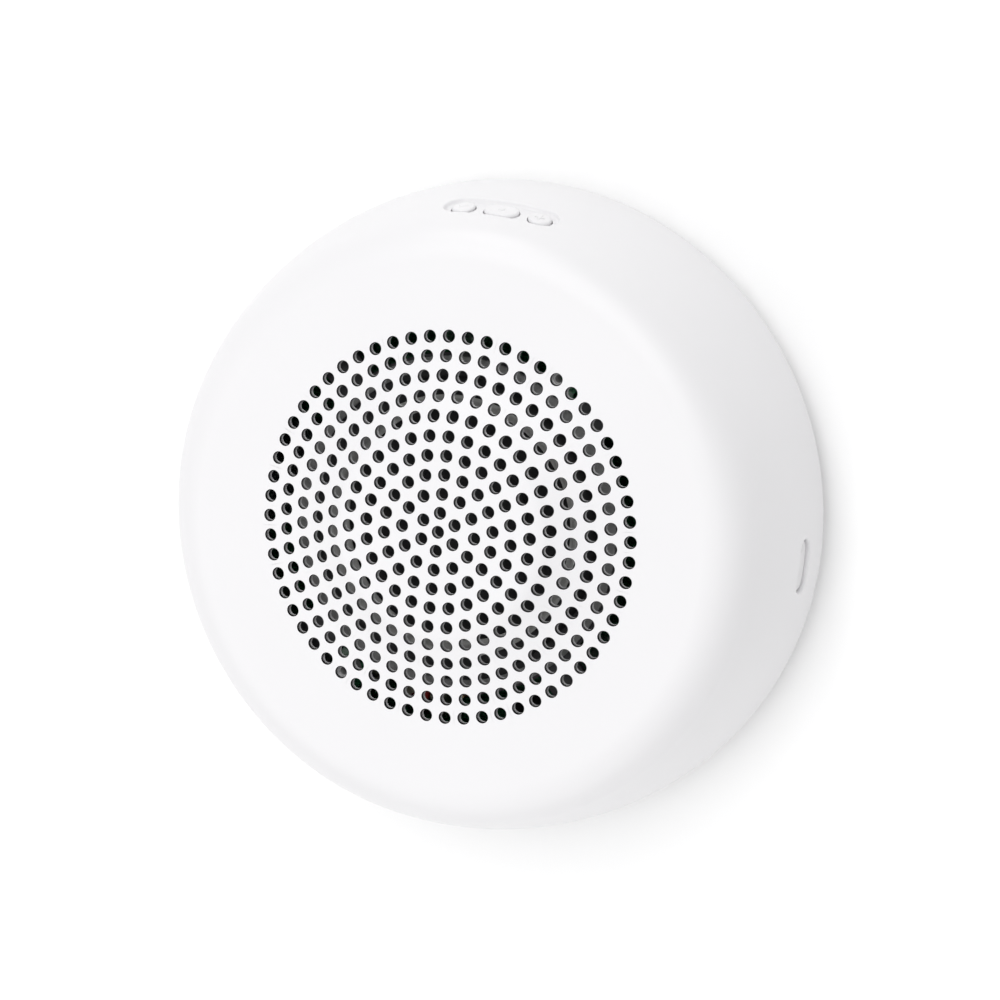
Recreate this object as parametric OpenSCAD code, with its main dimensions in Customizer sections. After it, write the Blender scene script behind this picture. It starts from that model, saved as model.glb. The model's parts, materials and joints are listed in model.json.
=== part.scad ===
// Smart speaker: a round, face-up puck with a perforated front, three side keys and a
// small power inlet. Z is up, the origin is the centre of the foot ring's underside.
// The keys face +Y. The power inlet faces +X, behind a rubber cover that pulls out.

/* [Body] */
// Widest diameter of the body
body_d = 97.8; // [97:0.1:99]
// Height from the table to the raised middle of the face
body_h = 34.7; // [34.5:0.1:35.5]
// Thickness of the moulded shell
wall_t = 2; // [1.8:0.1:2.1]
// Wall thickness of the perforated face
grille_t = 1; // [0.9:0.1:1.3]
// Section radius of the hollow slope round the raised middle
slope_arc_r = 33.8; // [32.5:0.1:35]
// Height of the raised middle above the flat outer face
plateau_rise = 3.56; // [3.2:0.02:3.8]
// Radius at which the hollow slope of the face runs out flat
slope_r = 30.2; // [29.5:0.1:31]
// Radius of the flat outer face, where the rounded front edge starts
face_r = 38.6; // [38.2:0.1:39]
// Section radius of the rounded front edge
edge_r = 7; // [6.5:0.1:7.4]
// Section radius of the long curve of the side wall
side_r = 58.8; // [56:0.2:62]

/* [Sound holes] */
// Distance between the rings of sound holes
hole_pitch = 2.8; // [2.78:0.01:2.82]
// Diameter of a sound hole
hole_d = 1.65; // [1.2:0.05:1.7]

/* [Base] */
// Gap between the shell and the base cover
seam_gap = 0.15; // [0.1:0.05:0.15]
// Height that the foot ring stands proud of the base cover
foot_proud = 0.8; // [0.6:0.1:0.8]
// Thickness of the base cover
base_t = 2; // [1.9:0.05:2.1]

/* [Keys] */
// Height of the row of keys above the table
key_z = 23.2; // [22.8:0.1:23.6]
// Length of the recess that the keys sit in
key_recess_l = 17.6; // [17.2:0.1:18.4]
// Width of the recess that the keys sit in
key_recess_w = 5.4; // [5:0.1:5.8]
// Depth of the recess that the keys sit in
key_recess_depth = 0.7; // [0.6:0.05:1]
// Width of each key across its short side
key_w = 3.4; // [3:0.1:3.4]
// Distance that a key travels when it is pressed
key_travel = 0.5; // [0.3:0.05:0.6]

/* [Power inlet] */
// Width of the slot in the shell
port_w = 8; // [7.8:0.1:9]
// Height of the slot in the shell
port_h = 3.4; // [3.2:0.1:4]
// Depth of the rubber cover's face below the body's surface
cover_sink = 0.6; // [0.4:0.05:0.8]

/* [Driver] */
// Outer diameter of the driver's flange
driver_d = 50.4; // [50:0.1:50.8]
// Height of the top of the driver's flange above the table
driver_z = 27.6; // [27.4:0.1:27.7]
// Diameter of the cone at its rim
cone_d = 36; // [34:0.2:36.6]
// Diameter of the voice coil's former, inside
former_d = 15.8; // [15.6:0.1:16]

/* [Hidden] */

// Circle fineness for large turned shapes, small round parts and sound holes
big_fn = 192;
mid_fn = 96;
small_fn = 48;
hole_fn = 24;

// Body section: the centres and the touching points of its arcs
body_r = body_d / 2;
face_z = body_h - plateau_rise;
edge_cz = face_z - edge_r;
side_cx = body_r - side_r;
edge_turn = asin((face_r - side_cx) / (side_r - edge_r));
side_cz = edge_cz - (side_r - edge_r) * cos(edge_turn);
base_edge_r = 4;
base_z = foot_proud;
base_edge_cz = base_z + base_edge_r;
base_turn = asin((side_cz - base_edge_cz) / (side_r - base_edge_r));
base_edge_cx = side_cx + (side_r - base_edge_r) * cos(base_turn);
base_touch_z = side_cz - side_r * sin(base_turn);
plate_z = base_z + base_t;
parting_z = plate_z + seam_gap;
edge_end = 90 - edge_turn;
parting_turn = asin((parting_z - base_edge_cz) / base_edge_r);
cavity_r = side_cx + (side_r - wall_t) * cos(base_turn);
arc_steps = 12;

// Base cover
lip_gap = 0.18;
lip_t = 1.6;
lip_z = 5.5;
foot_in_r = 34.2;
foot_out_r = 43.8;
groove_depth = 0.4;

// Rings of sound holes round the middle hole
ring_count = 10;

// Case screws and their bosses
case_boss_r = 39.2;
case_boss_d = 6;
case_boss_z = 6;
case_boss_top = face_z - 1.4;
case_post_d = 7;
case_bore_z = 4;
corner_angles = [45, 135, 225, 315];
case_screw_d = 2.2;
case_screw_l = 9;
screw_play = 0.1;

// Driver seat in the shell
seat_in_r = 23.3;
seat_out_r = 24.3;
gasket_t = 0.6;
seat_z = driver_z + gasket_t;
ear_r = 31.2;
ear_boss_d = 4.4;
ear_screw_d = 1.8;
ear_boss_top = face_z - 0.5;
ear_screw_top = face_z - 1;

// Driver, measured from the top of its flange
driver_r = driver_d / 2;
flange_t = 1;
frame_in_r = 21.8;
shelf_z = -6.6;
shelf_in_r = 14.6;
shelf_out_r = 17.6;
metal_t = 0.9;
plate_top = -9.9;
plate_low = -11.9;
magnet_low = -16.9;
yoke_low = -18.7;
plate_in_r = 9.05;
plate_out_r = 16;
magnet_in_r = 10.5;
magnet_out_r = 16.5;
pole_r = 7.5;
vent_r = 2.5;
former_r = former_d / 2;
former_t = 0.25;
former_out_r = former_r + former_t;
coil_t = 0.45;
cone_r = cone_d / 2;
cone_t = 0.45;
cone_rim_z = -1.4;
cone_neck_z = -6.1;
surround_drop = 1.4;

// Main board
board_z = 9.6;
board_t = 1.2;
board_top = board_z + board_t;
board_in_r = 18;
board_out_r = 43.6;
board_screw_r = 38;
board_screw_angles = [30, 150, 210, 330];
board_screw_d = 1.9;
board_screw_l = 5;
standoff_d = 5;

// Power inlet
inlet_w = 7.5;
inlet_h = 2.5;
inlet_depth = 5.6;
inlet_front = 46.1;
inlet_cz = board_top + inlet_h / 2;
cover_gap = 0.15;
cover_in_x = inlet_front + 0.15;
stub_l = 1.8;
stub_w = 3.4;
stub_t = 0.75;

// Key frame: x runs along the row, y down the wall and z straight out of it
key_slope = asin((key_z - side_cz) / side_r);
key_y = side_cx + side_r * cos(key_slope);
key_gap = 0.15;
key_mid_l = 5.2;
key_side_x = 5.9;
key_sink = 0.25;
flange_top = -3;
flange_low = -3.6;
flange_lip = 0.6;
key_foot = -4.2;
plunger_low = -5.3;
switch_top = key_foot - key_travel - 0.1;
switch_low = switch_top - 1.5;
switch_well = plunger_low - key_travel - 0.15;
plunger_d = 1.4;
switch_board_t = 1;
switch_screw_x = 11.4;
switch_screw_d = 1.5;

// Microphones, under two holes of the outermost ring
mic_r = ring_count * hole_pitch;
mic_angles = [60, 240];
mic_face_z = face_z - grille_t - 0.04;
mic_board_z = 27.6;

// Speaker connector and the leads to it
plug_x = -9;
plug_y = -30;
lead_d = 1.1;

// ---------- helpers ----------

module arm(r, angle) {
    rotate([0, 0, angle]) translate([r, 0, 0]) children();
}

module ring(r_in, r_out, z0, z1, fn = big_fn) {
    difference() {
        translate([0, 0, z0]) cylinder(r = r_out, h = z1 - z0, $fn = fn);
        translate([0, 0, z0 - 1]) cylinder(r = r_in, h = z1 - z0 + 2, $fn = fn);
    }
}

module pill(l, w, z0, z1) {
    translate([0, 0, z0]) linear_extrude(z1 - z0) union() {
        if (l > w) translate([-(l - w) / 2, -w / 2]) square([l - w, w]);
        translate([-(l - w) / 2, 0]) circle(d = w, $fn = small_fn);
        translate([(l - w) / 2, 0]) circle(d = w, $fn = small_fn);
    }
}

// A pan-head screw, its shank pointing up from the seat at z = 0
module screw(d, l, head_d, head_h) {
    difference() {
        union() {
            cylinder(d = d, h = l, $fn = small_fn);
            translate([0, 0, -head_h]) cylinder(d = head_d, h = head_h, $fn = small_fn);
        }
        for (a = [0, 90])
            rotate([0, 0, a]) translate([-head_d * 0.28, -d * 0.12, -head_h - 1])
                cube([head_d * 0.56, d * 0.24, 1 + head_h * 0.55]);
    }
}

// The frame of the keys: origin on the outer surface, z along the surface's normal
module at_keys() {
    translate([0, key_y, key_z]) rotate([key_slope - 90, 0, 0]) children();
}

// Points of a round tube swept along a curve; ref is a direction that the curve never takes
function unit(v) = v / norm(v);
function bezier(p, t) = pow(1 - t, 3) * p[0] + 3 * t * pow(1 - t, 2) * p[1]
    + 3 * t * t * (1 - t) * p[2] + pow(t, 3) * p[3];
function tangent(p, t) = unit(bezier(p, t + 0.001) - bezier(p, t - 0.001));
function sweep_ring(p, t, r, n, ref) = let(
        along = tangent(p, t),
        side = unit(cross(ref, along)),
        up = cross(along, side))
    [for (i = [0:n - 1]) bezier(p, t) + r * (cos(360 * i / n) * side + sin(360 * i / n) * up)];

module tube(p, r, ref = [1, 0, 0], steps = 18, n = 8) {
    points = [for (k = [0:steps]) each sweep_ring(p, k / steps, r, n, ref)];
    sides = [for (k = [0:steps - 1], i = [0:n - 1])
        [k * n + i, k * n + (i + 1) % n, (k + 1) * n + (i + 1) % n, (k + 1) * n + i]];
    polyhedron(points, concat(sides, [[for (i = [n - 1:-1:0]) i]],
        [[for (i = [0:n - 1]) steps * n + i]]), convexity = 4);
}

// Outline of a thin bent strip that follows the points of a path
function path_dir(p, i) = unit(p[min(i + 1, len(p) - 1)] - p[max(i - 1, 0)]);
function path_side(p, i, t) = let(d = path_dir(p, i)) p[i] + t / 2 * [-d[1], d[0]];
function strip(p, t) = concat([for (i = [0:len(p) - 1]) path_side(p, i, t)],
    [for (i = [len(p) - 1:-1:0]) path_side(p, i, -t)]);

// ---------- body section ----------

// Points along an arc, from just after angle a0 to a1
function arc(cx, cz, r, a0, a1, n) = [for (i = [1:n])
    let(a = a0 + (a1 - a0) * i / n) [cx + r * cos(a), cz + r * sin(a)]];

// The wall's outline, moved inwards by inset, from the flat face down to the side wall's foot
function wall_outline(inset) = concat(
    [[face_r, face_z - inset]],
    arc(face_r, edge_cz, edge_r - inset, 90, edge_end, arc_steps),
    arc(side_cx, side_cz, side_r - inset, edge_end, -base_turn, arc_steps));

// Half section of the raised middle and its hollow slope, moved inwards by inset
module middle_section(inset, low) {
    difference() {
        translate([0, low]) square([slope_r, body_h - inset - low]);
        translate([slope_r, face_z + slope_arc_r]) circle(slope_arc_r + inset, $fn = big_fn);
    }
}

// The body as one solid down to the side wall's foot, moved inwards by inset
module body_solid(inset) {
    rotate_extrude($fn = big_fn) union() {
        middle_section(inset, base_touch_z);
        polygon(concat([[slope_r, base_touch_z], [slope_r, face_z - inset]], wall_outline(inset)));
    }
}

module shell_section() {
    difference() {
        union() {
            middle_section(0, parting_z);
            polygon(concat([[slope_r, parting_z], [slope_r, face_z]], wall_outline(0),
                arc(base_edge_cx, base_edge_cz, base_edge_r, -base_turn, parting_turn, 4)));
        }
        union() {
            middle_section(grille_t, parting_z - 1);
            polygon(concat([[slope_r, parting_z - 1], [slope_r, face_z - wall_t]], wall_outline(wall_t),
                [[cavity_r, parting_z - 1]]));
        }
    }
}

// Section of the base cover's plate, from its flat underside up to the seam
module plate_section() {
    plate_turn = asin((plate_z - base_edge_cz) / base_edge_r);
    polygon(concat([[0, plate_z], [0, base_z], [base_edge_cx, base_z]],
        arc(base_edge_cx, base_edge_cz, base_edge_r, -90, plate_turn, 6)));
}

// ---------- shell ----------

module sound_holes() {
    low = face_z - wall_t - 1;
    translate([0, 0, low]) cylinder(d = hole_d, h = body_h, $fn = hole_fn);
    for (k = [1:ring_count], i = [0:6 * k - 1])
        arm(k * hole_pitch, 90 + 60 * i / k)
            translate([0, 0, low]) cylinder(d = hole_d, h = body_h - low + 1, $fn = hole_fn);
}

module key_holes(gap) {
    for (x = [-key_side_x, key_side_x])
        translate([x, 0, -wall_t - 3]) cylinder(d = key_w + 2 * gap, h = wall_t + 5, $fn = small_fn);
    pill(key_mid_l + 2 * gap, key_w + 2 * gap, -wall_t - 3, 2);
}

module antenna_ribs() {
    for (s = [-1, 1])
        difference() {
            translate([-44, s * 12 - 1.2, 13]) cube([4, 2.4, 11]);
            translate([-42.2, s * 11.4 - 1.2, 14]) cube([1, 2.4, 11]);
        }
}

module top_shell() {
    color("white") difference() {
        union() {
            rotate_extrude($fn = big_fn) shell_section();
            ring(seat_in_r, seat_out_r, seat_z, face_z);
            for (a = corner_angles) {
                arm(case_boss_r, a) translate([0, 0, case_boss_z])
                    cylinder(d = case_boss_d, h = case_boss_top - case_boss_z, $fn = small_fn);
                arm(ear_r, a) translate([0, 0, driver_z])
                    cylinder(d = ear_boss_d, h = ear_boss_top - driver_z, $fn = small_fn);
            }
            at_keys() for (x = [-switch_screw_x, switch_screw_x])
                translate([x, 0, switch_low]) cylinder(d = 4.2, h = 3.7, $fn = small_fn);
            antenna_ribs();
        }
        sound_holes();
        for (a = corner_angles) {
            arm(case_boss_r, a) translate([0, 0, case_boss_z - 1])
                cylinder(d = case_screw_d + screw_play, h = case_screw_l + 1, $fn = small_fn);
            arm(ear_r, a) translate([0, 0, driver_z - 1])
                cylinder(d = ear_screw_d + screw_play, h = ear_screw_top - driver_z + 1, $fn = small_fn);
        }
        at_keys() for (x = [-switch_screw_x, switch_screw_x])
            translate([x, 0, switch_low - 1])
                cylinder(d = switch_screw_d + screw_play, h = 3.4, $fn = small_fn);
        difference() {
            at_keys() pill(key_recess_l, key_recess_w, -4, 3);
            body_solid(key_recess_depth);
        }
        at_keys() key_holes(key_gap);
        translate([cavity_r - 4, 0, inlet_cz]) rotate([90, 0, 90])
            pill(port_w, port_h, 0, 8);
    }
}

// ---------- base ----------

module base_cover() {
    color("whitesmoke") difference() {
        union() {
            rotate_extrude($fn = big_fn) plate_section();
            ring(cavity_r - lip_gap - lip_t, cavity_r - lip_gap, plate_z - 0.5, lip_z);
            for (a = corner_angles)
                arm(case_boss_r, a) translate([0, 0, plate_z - 0.5])
                    cylinder(d = case_post_d, h = case_boss_z - plate_z + 0.5, $fn = small_fn);
            for (a = board_screw_angles)
                arm(board_screw_r, a) translate([0, 0, plate_z - 0.5])
                    cylinder(d = standoff_d, h = board_z - plate_z + 0.5, $fn = small_fn);
        }
        ring(foot_in_r - 0.1, foot_out_r + 0.1, base_z - 1, base_z + groove_depth);
        for (a = corner_angles)
            arm(case_boss_r, a) {
                translate([0, 0, base_z - 1]) cylinder(d = 4.8, h = case_bore_z - base_z + 1, $fn = small_fn);
                cylinder(d = 2.6, h = case_boss_z + 1, $fn = small_fn);
            }
        for (a = board_screw_angles)
            arm(board_screw_r, a) translate([0, 0, board_z - board_screw_l])
                cylinder(d = board_screw_d + screw_play, h = board_screw_l + 1, $fn = small_fn);
    }
}

module foot_ring() {
    color("lightgray") rotate_extrude($fn = big_fn) union() {
        translate([foot_in_r + 0.5, 0]) square([foot_out_r - foot_in_r - 1, 0.5]);
        translate([foot_in_r, 0.5]) square([foot_out_r - foot_in_r, foot_proud + groove_depth - 0.5]);
        intersection() {
            translate([foot_in_r + 0.5, 0.5]) circle(0.5, $fn = small_fn);
            translate([foot_in_r, 0]) square([0.5, 0.5]);
        }
        intersection() {
            translate([foot_out_r - 0.5, 0.5]) circle(0.5, $fn = small_fn);
            translate([foot_out_r - 0.5, 0]) square([0.5, 0.5]);
        }
    }
}

module case_screws() {
    color("silver") for (a = corner_angles)
        arm(case_boss_r, a) translate([0, 0, case_bore_z]) screw(case_screw_d, case_screw_l, 4.2, 1.6);
}

// ---------- driver ----------

module basket_section() {
    translate([frame_in_r, -flange_t]) square([driver_r - frame_in_r, flange_t]);
    polygon([[frame_in_r, -flange_t], [frame_in_r + metal_t, -flange_t],
        [shelf_out_r + metal_t, shelf_z - metal_t], [shelf_out_r, shelf_z - metal_t], [shelf_out_r, shelf_z]]);
    translate([shelf_in_r, shelf_z - metal_t]) square([shelf_out_r - shelf_in_r, metal_t]);
    translate([shelf_in_r, plate_top]) square([metal_t, shelf_z - plate_top]);
    translate([plate_in_r + 1.5, plate_top]) square([shelf_in_r - plate_in_r - 1.5, metal_t]);
}

module driver_basket() {
    color("dimgray") translate([0, 0, driver_z]) difference() {
        union() {
            rotate_extrude($fn = mid_fn) basket_section();
            for (a = corner_angles)
                rotate([0, 0, a]) {
                    translate([frame_in_r + 1, -3, -flange_t]) cube([ear_r - frame_in_r - 1, 6, flange_t]);
                    translate([ear_r, 0, -flange_t]) cylinder(r = 3, h = flange_t, $fn = small_fn);
                }
            translate([-4, -24.4, -5.5]) cube([8, 1, 5.5]);
        }
        for (a = corner_angles)
            arm(ear_r, a) translate([0, 0, -flange_t - 1]) cylinder(d = 2.2, h = flange_t + 2, $fn = small_fn);
        for (i = [0:5])
            rotate([0, 0, 60 * i]) translate([0, -4.5, shelf_z + 0.3]) cube([30, 9, 4]);
        for (i = [0:5])
            rotate([0, 0, 60 * i + 30]) translate([shelf_in_r + metal_t / 2, -2.6, plate_top + metal_t + 0.2])
                translate([-2, 0, 0]) cube([4, 5.2, 1.2]);
    }
}

module driver_gasket() {
    color("black") ring(22.95, driver_r - 0.4, driver_z, seat_z);
}

module driver_screws() {
    color("silver") for (a = corner_angles)
        arm(ear_r, a) translate([0, 0, driver_z - flange_t])
            screw(ear_screw_d, ear_screw_top - driver_z + flange_t - 0.2, 3.6, 1.3);
}

module top_plate() {
    color("slategray") ring(plate_in_r, plate_out_r, driver_z + plate_low, driver_z + plate_top, mid_fn);
}

module magnet() {
    color("darkslategray") ring(magnet_in_r, magnet_out_r, driver_z + magnet_low, driver_z + plate_low, mid_fn);
}

module yoke() {
    color("slategray") translate([0, 0, driver_z]) difference() {
        union() {
            translate([0, 0, yoke_low]) cylinder(r = plate_out_r, h = magnet_low - yoke_low, $fn = mid_fn);
            translate([0, 0, yoke_low]) cylinder(r = pole_r, h = plate_top - yoke_low, $fn = mid_fn);
        }
        translate([0, 0, yoke_low - 1]) cylinder(r = vent_r, h = plate_top - yoke_low + 2, $fn = small_fn);
    }
}

module coil_former() {
    color("burlywood") ring(former_r, former_out_r, driver_z - 12.9, driver_z - 6, mid_fn);
}

module voice_coil() {
    color("chocolate") ring(former_out_r, former_out_r + coil_t, driver_z - 12.7, driver_z - 9.2, mid_fn);
}

module cone() {
    color("#2b2b2e") translate([0, 0, driver_z]) rotate_extrude($fn = mid_fn) polygon([
        [former_out_r, cone_neck_z - 0.9], [former_out_r + cone_t, cone_neck_z - 0.9],
        [former_out_r + cone_t, cone_neck_z - 0.2], [cone_r - 0.5, cone_rim_z - cone_t],
        [cone_r + 0.4, cone_rim_z - cone_t], [cone_r + 0.4, cone_rim_z],
        [cone_r - 0.6, cone_rim_z], [former_out_r, cone_neck_z + 0.3]]);
}

// A dome whose rim rests on the cone just outside the former
module dust_cap() {
    cap_r = former_out_r + 1.2;
    cap_h = 2.4;
    dome_r = (cap_r * cap_r + cap_h * cap_h) / (2 * cap_h);
    rim_z = driver_z + cone_neck_z + 0.95;
    color("#343438") translate([0, 0, rim_z]) rotate_extrude($fn = mid_fn) intersection() {
        difference() {
            translate([0, cap_h - dome_r]) circle(dome_r, $fn = big_fn);
            translate([0, cap_h - dome_r]) circle(dome_r - cone_t, $fn = big_fn);
        }
        translate([0, 0.05]) square([cap_r, cap_h]);
    }
}

// A rolled rubber edge, high at its outer lip and lower at the cone
module surround() {
    roll_in = cone_r + 0.4;
    roll_out = frame_in_r + 0.2;
    roll_r = (roll_out - roll_in) / 2;
    mid_r = (roll_in + roll_out) / 2;
    color("#1d1d1f") translate([0, 0, driver_z]) rotate_extrude($fn = mid_fn) union() {
        translate([roll_out - 0.3, 0]) square([22.8 - roll_out + 0.3, 0.3]);
        intersection() {
            difference() {
                translate([mid_r, 0]) circle(roll_r, $fn = mid_fn);
                translate([mid_r, 0]) circle(roll_r - 0.3, $fn = mid_fn);
            }
            translate([roll_in, 0]) square([2 * roll_r, roll_r]);
        }
        translate([roll_in, -surround_drop]) square([0.3, surround_drop]);
        translate([cone_r - 0.6, -surround_drop]) square([1.3, 0.3]);
    }
}

// A thin cloth disc with flat lips and round waves between them, higher at its outer lip
module spider() {
    in_z = -7.95;
    out_z = shelf_z + 0.15;
    wave_in_r = former_out_r + 1.2;
    wave_out_r = shelf_in_r - 0.5;
    waves = 3;
    steps = 10 * waves;
    wave = [for (i = [0:steps]) [wave_in_r + (wave_out_r - wave_in_r) * i / steps,
        in_z + (out_z - in_z) * i / steps + 0.3 * sin(360 * waves * i / steps)]];
    path = concat([[former_out_r, in_z]], wave, [[shelf_out_r - 0.4, out_z]]);
    color("goldenrod") translate([0, 0, driver_z]) rotate_extrude($fn = mid_fn)
        polygon(strip(path, 0.28));
}

module terminal_board() {
    color("saddlebrown") translate([-5, -25.4, driver_z - 5.8]) cube([10, 1, 4.4]);
}

module terminal_tags() {
    color("gold") for (x = [-2.6, 2.6])
        translate([x - 0.9, -25.9, driver_z - 5.4]) difference() {
            cube([1.8, 0.5, 3.4]);
            translate([0.9, -1, 0.9]) rotate([-90, 0, 0]) cylinder(d = 0.7, h = 3, $fn = small_fn);
        }
}

// Leads from the tags to the plug on the main board
function lead_path(x_tag, x_plug) = [[x_tag, -25.9, driver_z - 3], [x_tag, -29.5, driver_z - 3],
    [x_plug, plug_y, 20], [x_plug, plug_y, board_top + 4.6]];

module lead_red() {
    color("firebrick") tube(lead_path(-2.6, plug_x + 1), lead_d / 2);
}

module lead_black() {
    color("black") tube(lead_path(2.6, plug_x + 3), lead_d / 2);
}

module speaker_plug() {
    color("ivory") translate([plug_x - 1, plug_y - 1.8, board_top + 2]) difference() {
        cube([6, 3.6, 2.6]);
        translate([0.8, -1, 1.6]) cube([4.4, 1.6, 2]);
    }
}

module speaker_header() {
    color("ivory") translate([plug_x - 1.6, plug_y - 2.4, board_top]) union() {
        cube([7.2, 4.8, 2]);
        translate([0, 0, 2]) cube([0.5, 4.8, 1.6]);
        translate([6.7, 0, 2]) cube([0.5, 4.8, 1.6]);
    }
}

// ---------- electronics ----------

module main_board() {
    color("darkgreen") difference() {
        ring(board_in_r, board_out_r, board_z, board_top, mid_fn);
        for (a = corner_angles)
            arm(case_boss_r, a) translate([0, 0, board_z - 1]) cylinder(d = 7.2, h = board_t + 2, $fn = small_fn);
        for (a = board_screw_angles)
            arm(board_screw_r, a) translate([0, 0, board_z - 1]) cylinder(d = 2.3, h = board_t + 2, $fn = small_fn);
    }
}

module board_screws() {
    color("silver") for (a = board_screw_angles)
        arm(board_screw_r, a) translate([0, 0, board_top]) rotate([180, 0, 0])
            screw(board_screw_d, board_screw_l, 3.6, 1.3);
}

module shield_can() {
    color("lightsteelblue") translate([-37.5, -8, board_top]) difference() {
        cube([14, 16, 2]);
        translate([0.3, 0.3, -1]) cube([13.4, 15.4, 2.7]);
        for (i = [0:2], j = [0:2])
            translate([4 + 3 * i, 5 + 3 * j, 0]) cylinder(d = 1, h = 3, $fn = small_fn);
    }
}

module capacitors() {
    color("silver") for (y = [-9, 9])
        translate([33, y, board_top]) union() {
            translate([-3.3, -3.3, 0]) cube([6.6, 6.6, 0.8]);
            translate([0, 0, 0.8]) cylinder(d = 6.3, h = 4.8, $fn = small_fn);
        }
}

module inductor() {
    color("dimgray") translate([18.5, -29.5, board_top]) difference() {
        cube([6, 6, 3]);
        translate([3, 3, 2.4]) cylinder(d = 4, h = 1, $fn = small_fn);
    }
}

module amplifier_chip() {
    color("#202024") translate([6, -33, board_top]) difference() {
        cube([6, 6, 1]);
        translate([1, 1, 0.85]) cylinder(d = 0.8, h = 1, $fn = small_fn);
    }
}

module power_inlet() {
    color("silver") translate([inlet_front - inlet_depth, 0, board_top]) difference() {
        translate([0, -inlet_w / 2, 0]) cube([inlet_depth, inlet_w, inlet_h]);
        difference() {
            translate([0.5, -inlet_w / 2 + 0.3, 0.3]) cube([inlet_depth, inlet_w - 0.6, inlet_h - 0.6]);
            for (s = [-1, 1])
                translate([0, s * (inlet_w / 2 - 0.3), 0.3]) rotate([s * 35, 0, 0])
                    translate([-1, -1, -2]) cube([inlet_depth + 2, 2, 2.4]);
        }
    }
}

module inlet_tongue() {
    color("#202024") translate([inlet_front - inlet_depth + 0.5, -1.85, board_top + 1.35])
        cube([inlet_depth - 1.1, 3.7, 0.55]);
}

// A rubber plug in the slot, with a grip notch and a flat stub that reaches under the tongue
module port_cover() {
    color("white") union() {
        difference() {
            intersection() {
                translate([cover_in_x, 0, inlet_cz]) rotate([90, 0, 90])
                    pill(port_w - 2 * cover_gap, port_h - 2 * cover_gap, 0, 4);
                body_solid(cover_sink);
            }
            translate([body_r - cover_sink, port_w / 2 - 1.4, inlet_cz - 0.9])
                cylinder(d = 1.1, h = 1.8, $fn = small_fn);
        }
        translate([cover_in_x - stub_l, -stub_w / 2, board_top + 0.45]) cube([stub_l + 0.3, stub_w, stub_t]);
    }
}

module antenna_board() {
    color("darkgreen") translate([-42.1, -12.4, 14.1]) cube([0.8, 24.8, 8]);
}

module antenna_cable() {
    color("black") tube([[-40.75, 6, 17], [-37, 6, 17], [-33, 3, 19], [-33, 3, board_top + 2.02]], 0.55, ref = [0, 1, 0]);
}

// ---------- keys ----------

module key_prism(x, l, z0, z1, extra) {
    translate([x, 0, 0]) pill(l + extra, key_w + extra, z0, z1);
}

module key(x, l) {
    intersection() {
        at_keys() key_prism(x, l, flange_top - 0.1, 2, 0);
        body_solid(key_sink);
    }
    at_keys() {
        key_prism(x, l, flange_low, flange_top, 2 * flange_lip);
        translate([x, 0, key_foot]) cylinder(d = 1.6, h = flange_low - key_foot, $fn = small_fn);
    }
}

// A raised bar on a key, its top a little below the body's surface
module key_bar(x, l, w) {
    top = -x * x / (2 * key_y) - 0.1;
    at_keys() translate([x - l / 2, -w / 2, -1.5]) cube([l, w, top + 1.5]);
}

module key_minus() {
    color("white") union() {
        key(-key_side_x, key_w);
        key_bar(-key_side_x, 1.5, 0.35);
    }
}

module key_plus() {
    color("white") union() {
        key(key_side_x, key_w);
        key_bar(key_side_x, 1.5, 0.35);
        key_bar(key_side_x, 0.35, 1.5);
    }
}

module key_action() {
    color("white") union() {
        key(0, key_mid_l);
        at_keys() translate([0, 0, -1.5]) cylinder(d = 1, h = 1.4, $fn = small_fn);
    }
}

module plunger(x) {
    color("#202024") at_keys() translate([x, 0, plunger_low])
        cylinder(d = plunger_d, h = key_foot - plunger_low, $fn = small_fn);
}

module plunger_minus() {
    plunger(-key_side_x);
}

module plunger_action() {
    plunger(0);
}

module plunger_plus() {
    plunger(key_side_x);
}

module switch_bodies() {
    color("silver") at_keys() for (x = [-key_side_x, 0, key_side_x])
        difference() {
            translate([x - 2, -1.7, switch_low]) cube([4, 3.4, switch_top - switch_low]);
            translate([x, 0, switch_well]) cylinder(d = plunger_d + 0.2, h = 3, $fn = small_fn);
        }
}

module switch_board() {
    color("darkgreen") at_keys() difference() {
        translate([-13.6, -3, switch_low - switch_board_t]) cube([27.2, 6, switch_board_t]);
        for (x = [-switch_screw_x, switch_screw_x])
            translate([x, 0, switch_low - 2]) cylinder(d = 1.8, h = 3, $fn = small_fn);
    }
}

module switch_screws() {
    color("silver") at_keys() for (x = [-switch_screw_x, switch_screw_x])
        translate([x, 0, switch_low - switch_board_t]) screw(switch_screw_d, 3.2, 2.8, 1);
}

// Flat cable from the back of the switch board down to its socket
ribbon_path = [[39.4, 20], [38.6, 18], [38, 15.5], [37, 13.4], [35.6, 12.3], [34.5, 12]];

module ribbon() {
    color("lightgray") translate([-3, 0, 0]) rotate([90, 0, 90]) linear_extrude(6) polygon(strip(ribbon_path, 0.25));
}

module ribbon_socket() {
    color("ivory") difference() {
        translate([-4.5, 31.5, board_top]) cube([9, 3, 2]);
        translate([-3.1, 33.5, board_top + 1]) cube([6.2, 2, 0.5]);
    }
}

// ---------- microphones ----------

module mic_boots() {
    color("dimgray") for (a = mic_angles)
        arm(mic_r, a) ring(0.6, 1.8, mic_board_z, mic_face_z, small_fn);
}

module mic_boards() {
    color("darkgreen") for (a = mic_angles)
        arm(mic_r, a) difference() {
            translate([-1.8, -2.6, mic_board_z - 0.8]) cube([6, 5.2, 0.8]);
            translate([0, 0, mic_board_z - 2]) cylinder(d = 0.8, h = 3, $fn = small_fn);
        }
}

module mic_cans() {
    color("gold") for (a = mic_angles)
        arm(mic_r, a) translate([-1.4, -1.5, mic_board_z - 1.9]) cube([4, 3, 1.1]);
}

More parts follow.
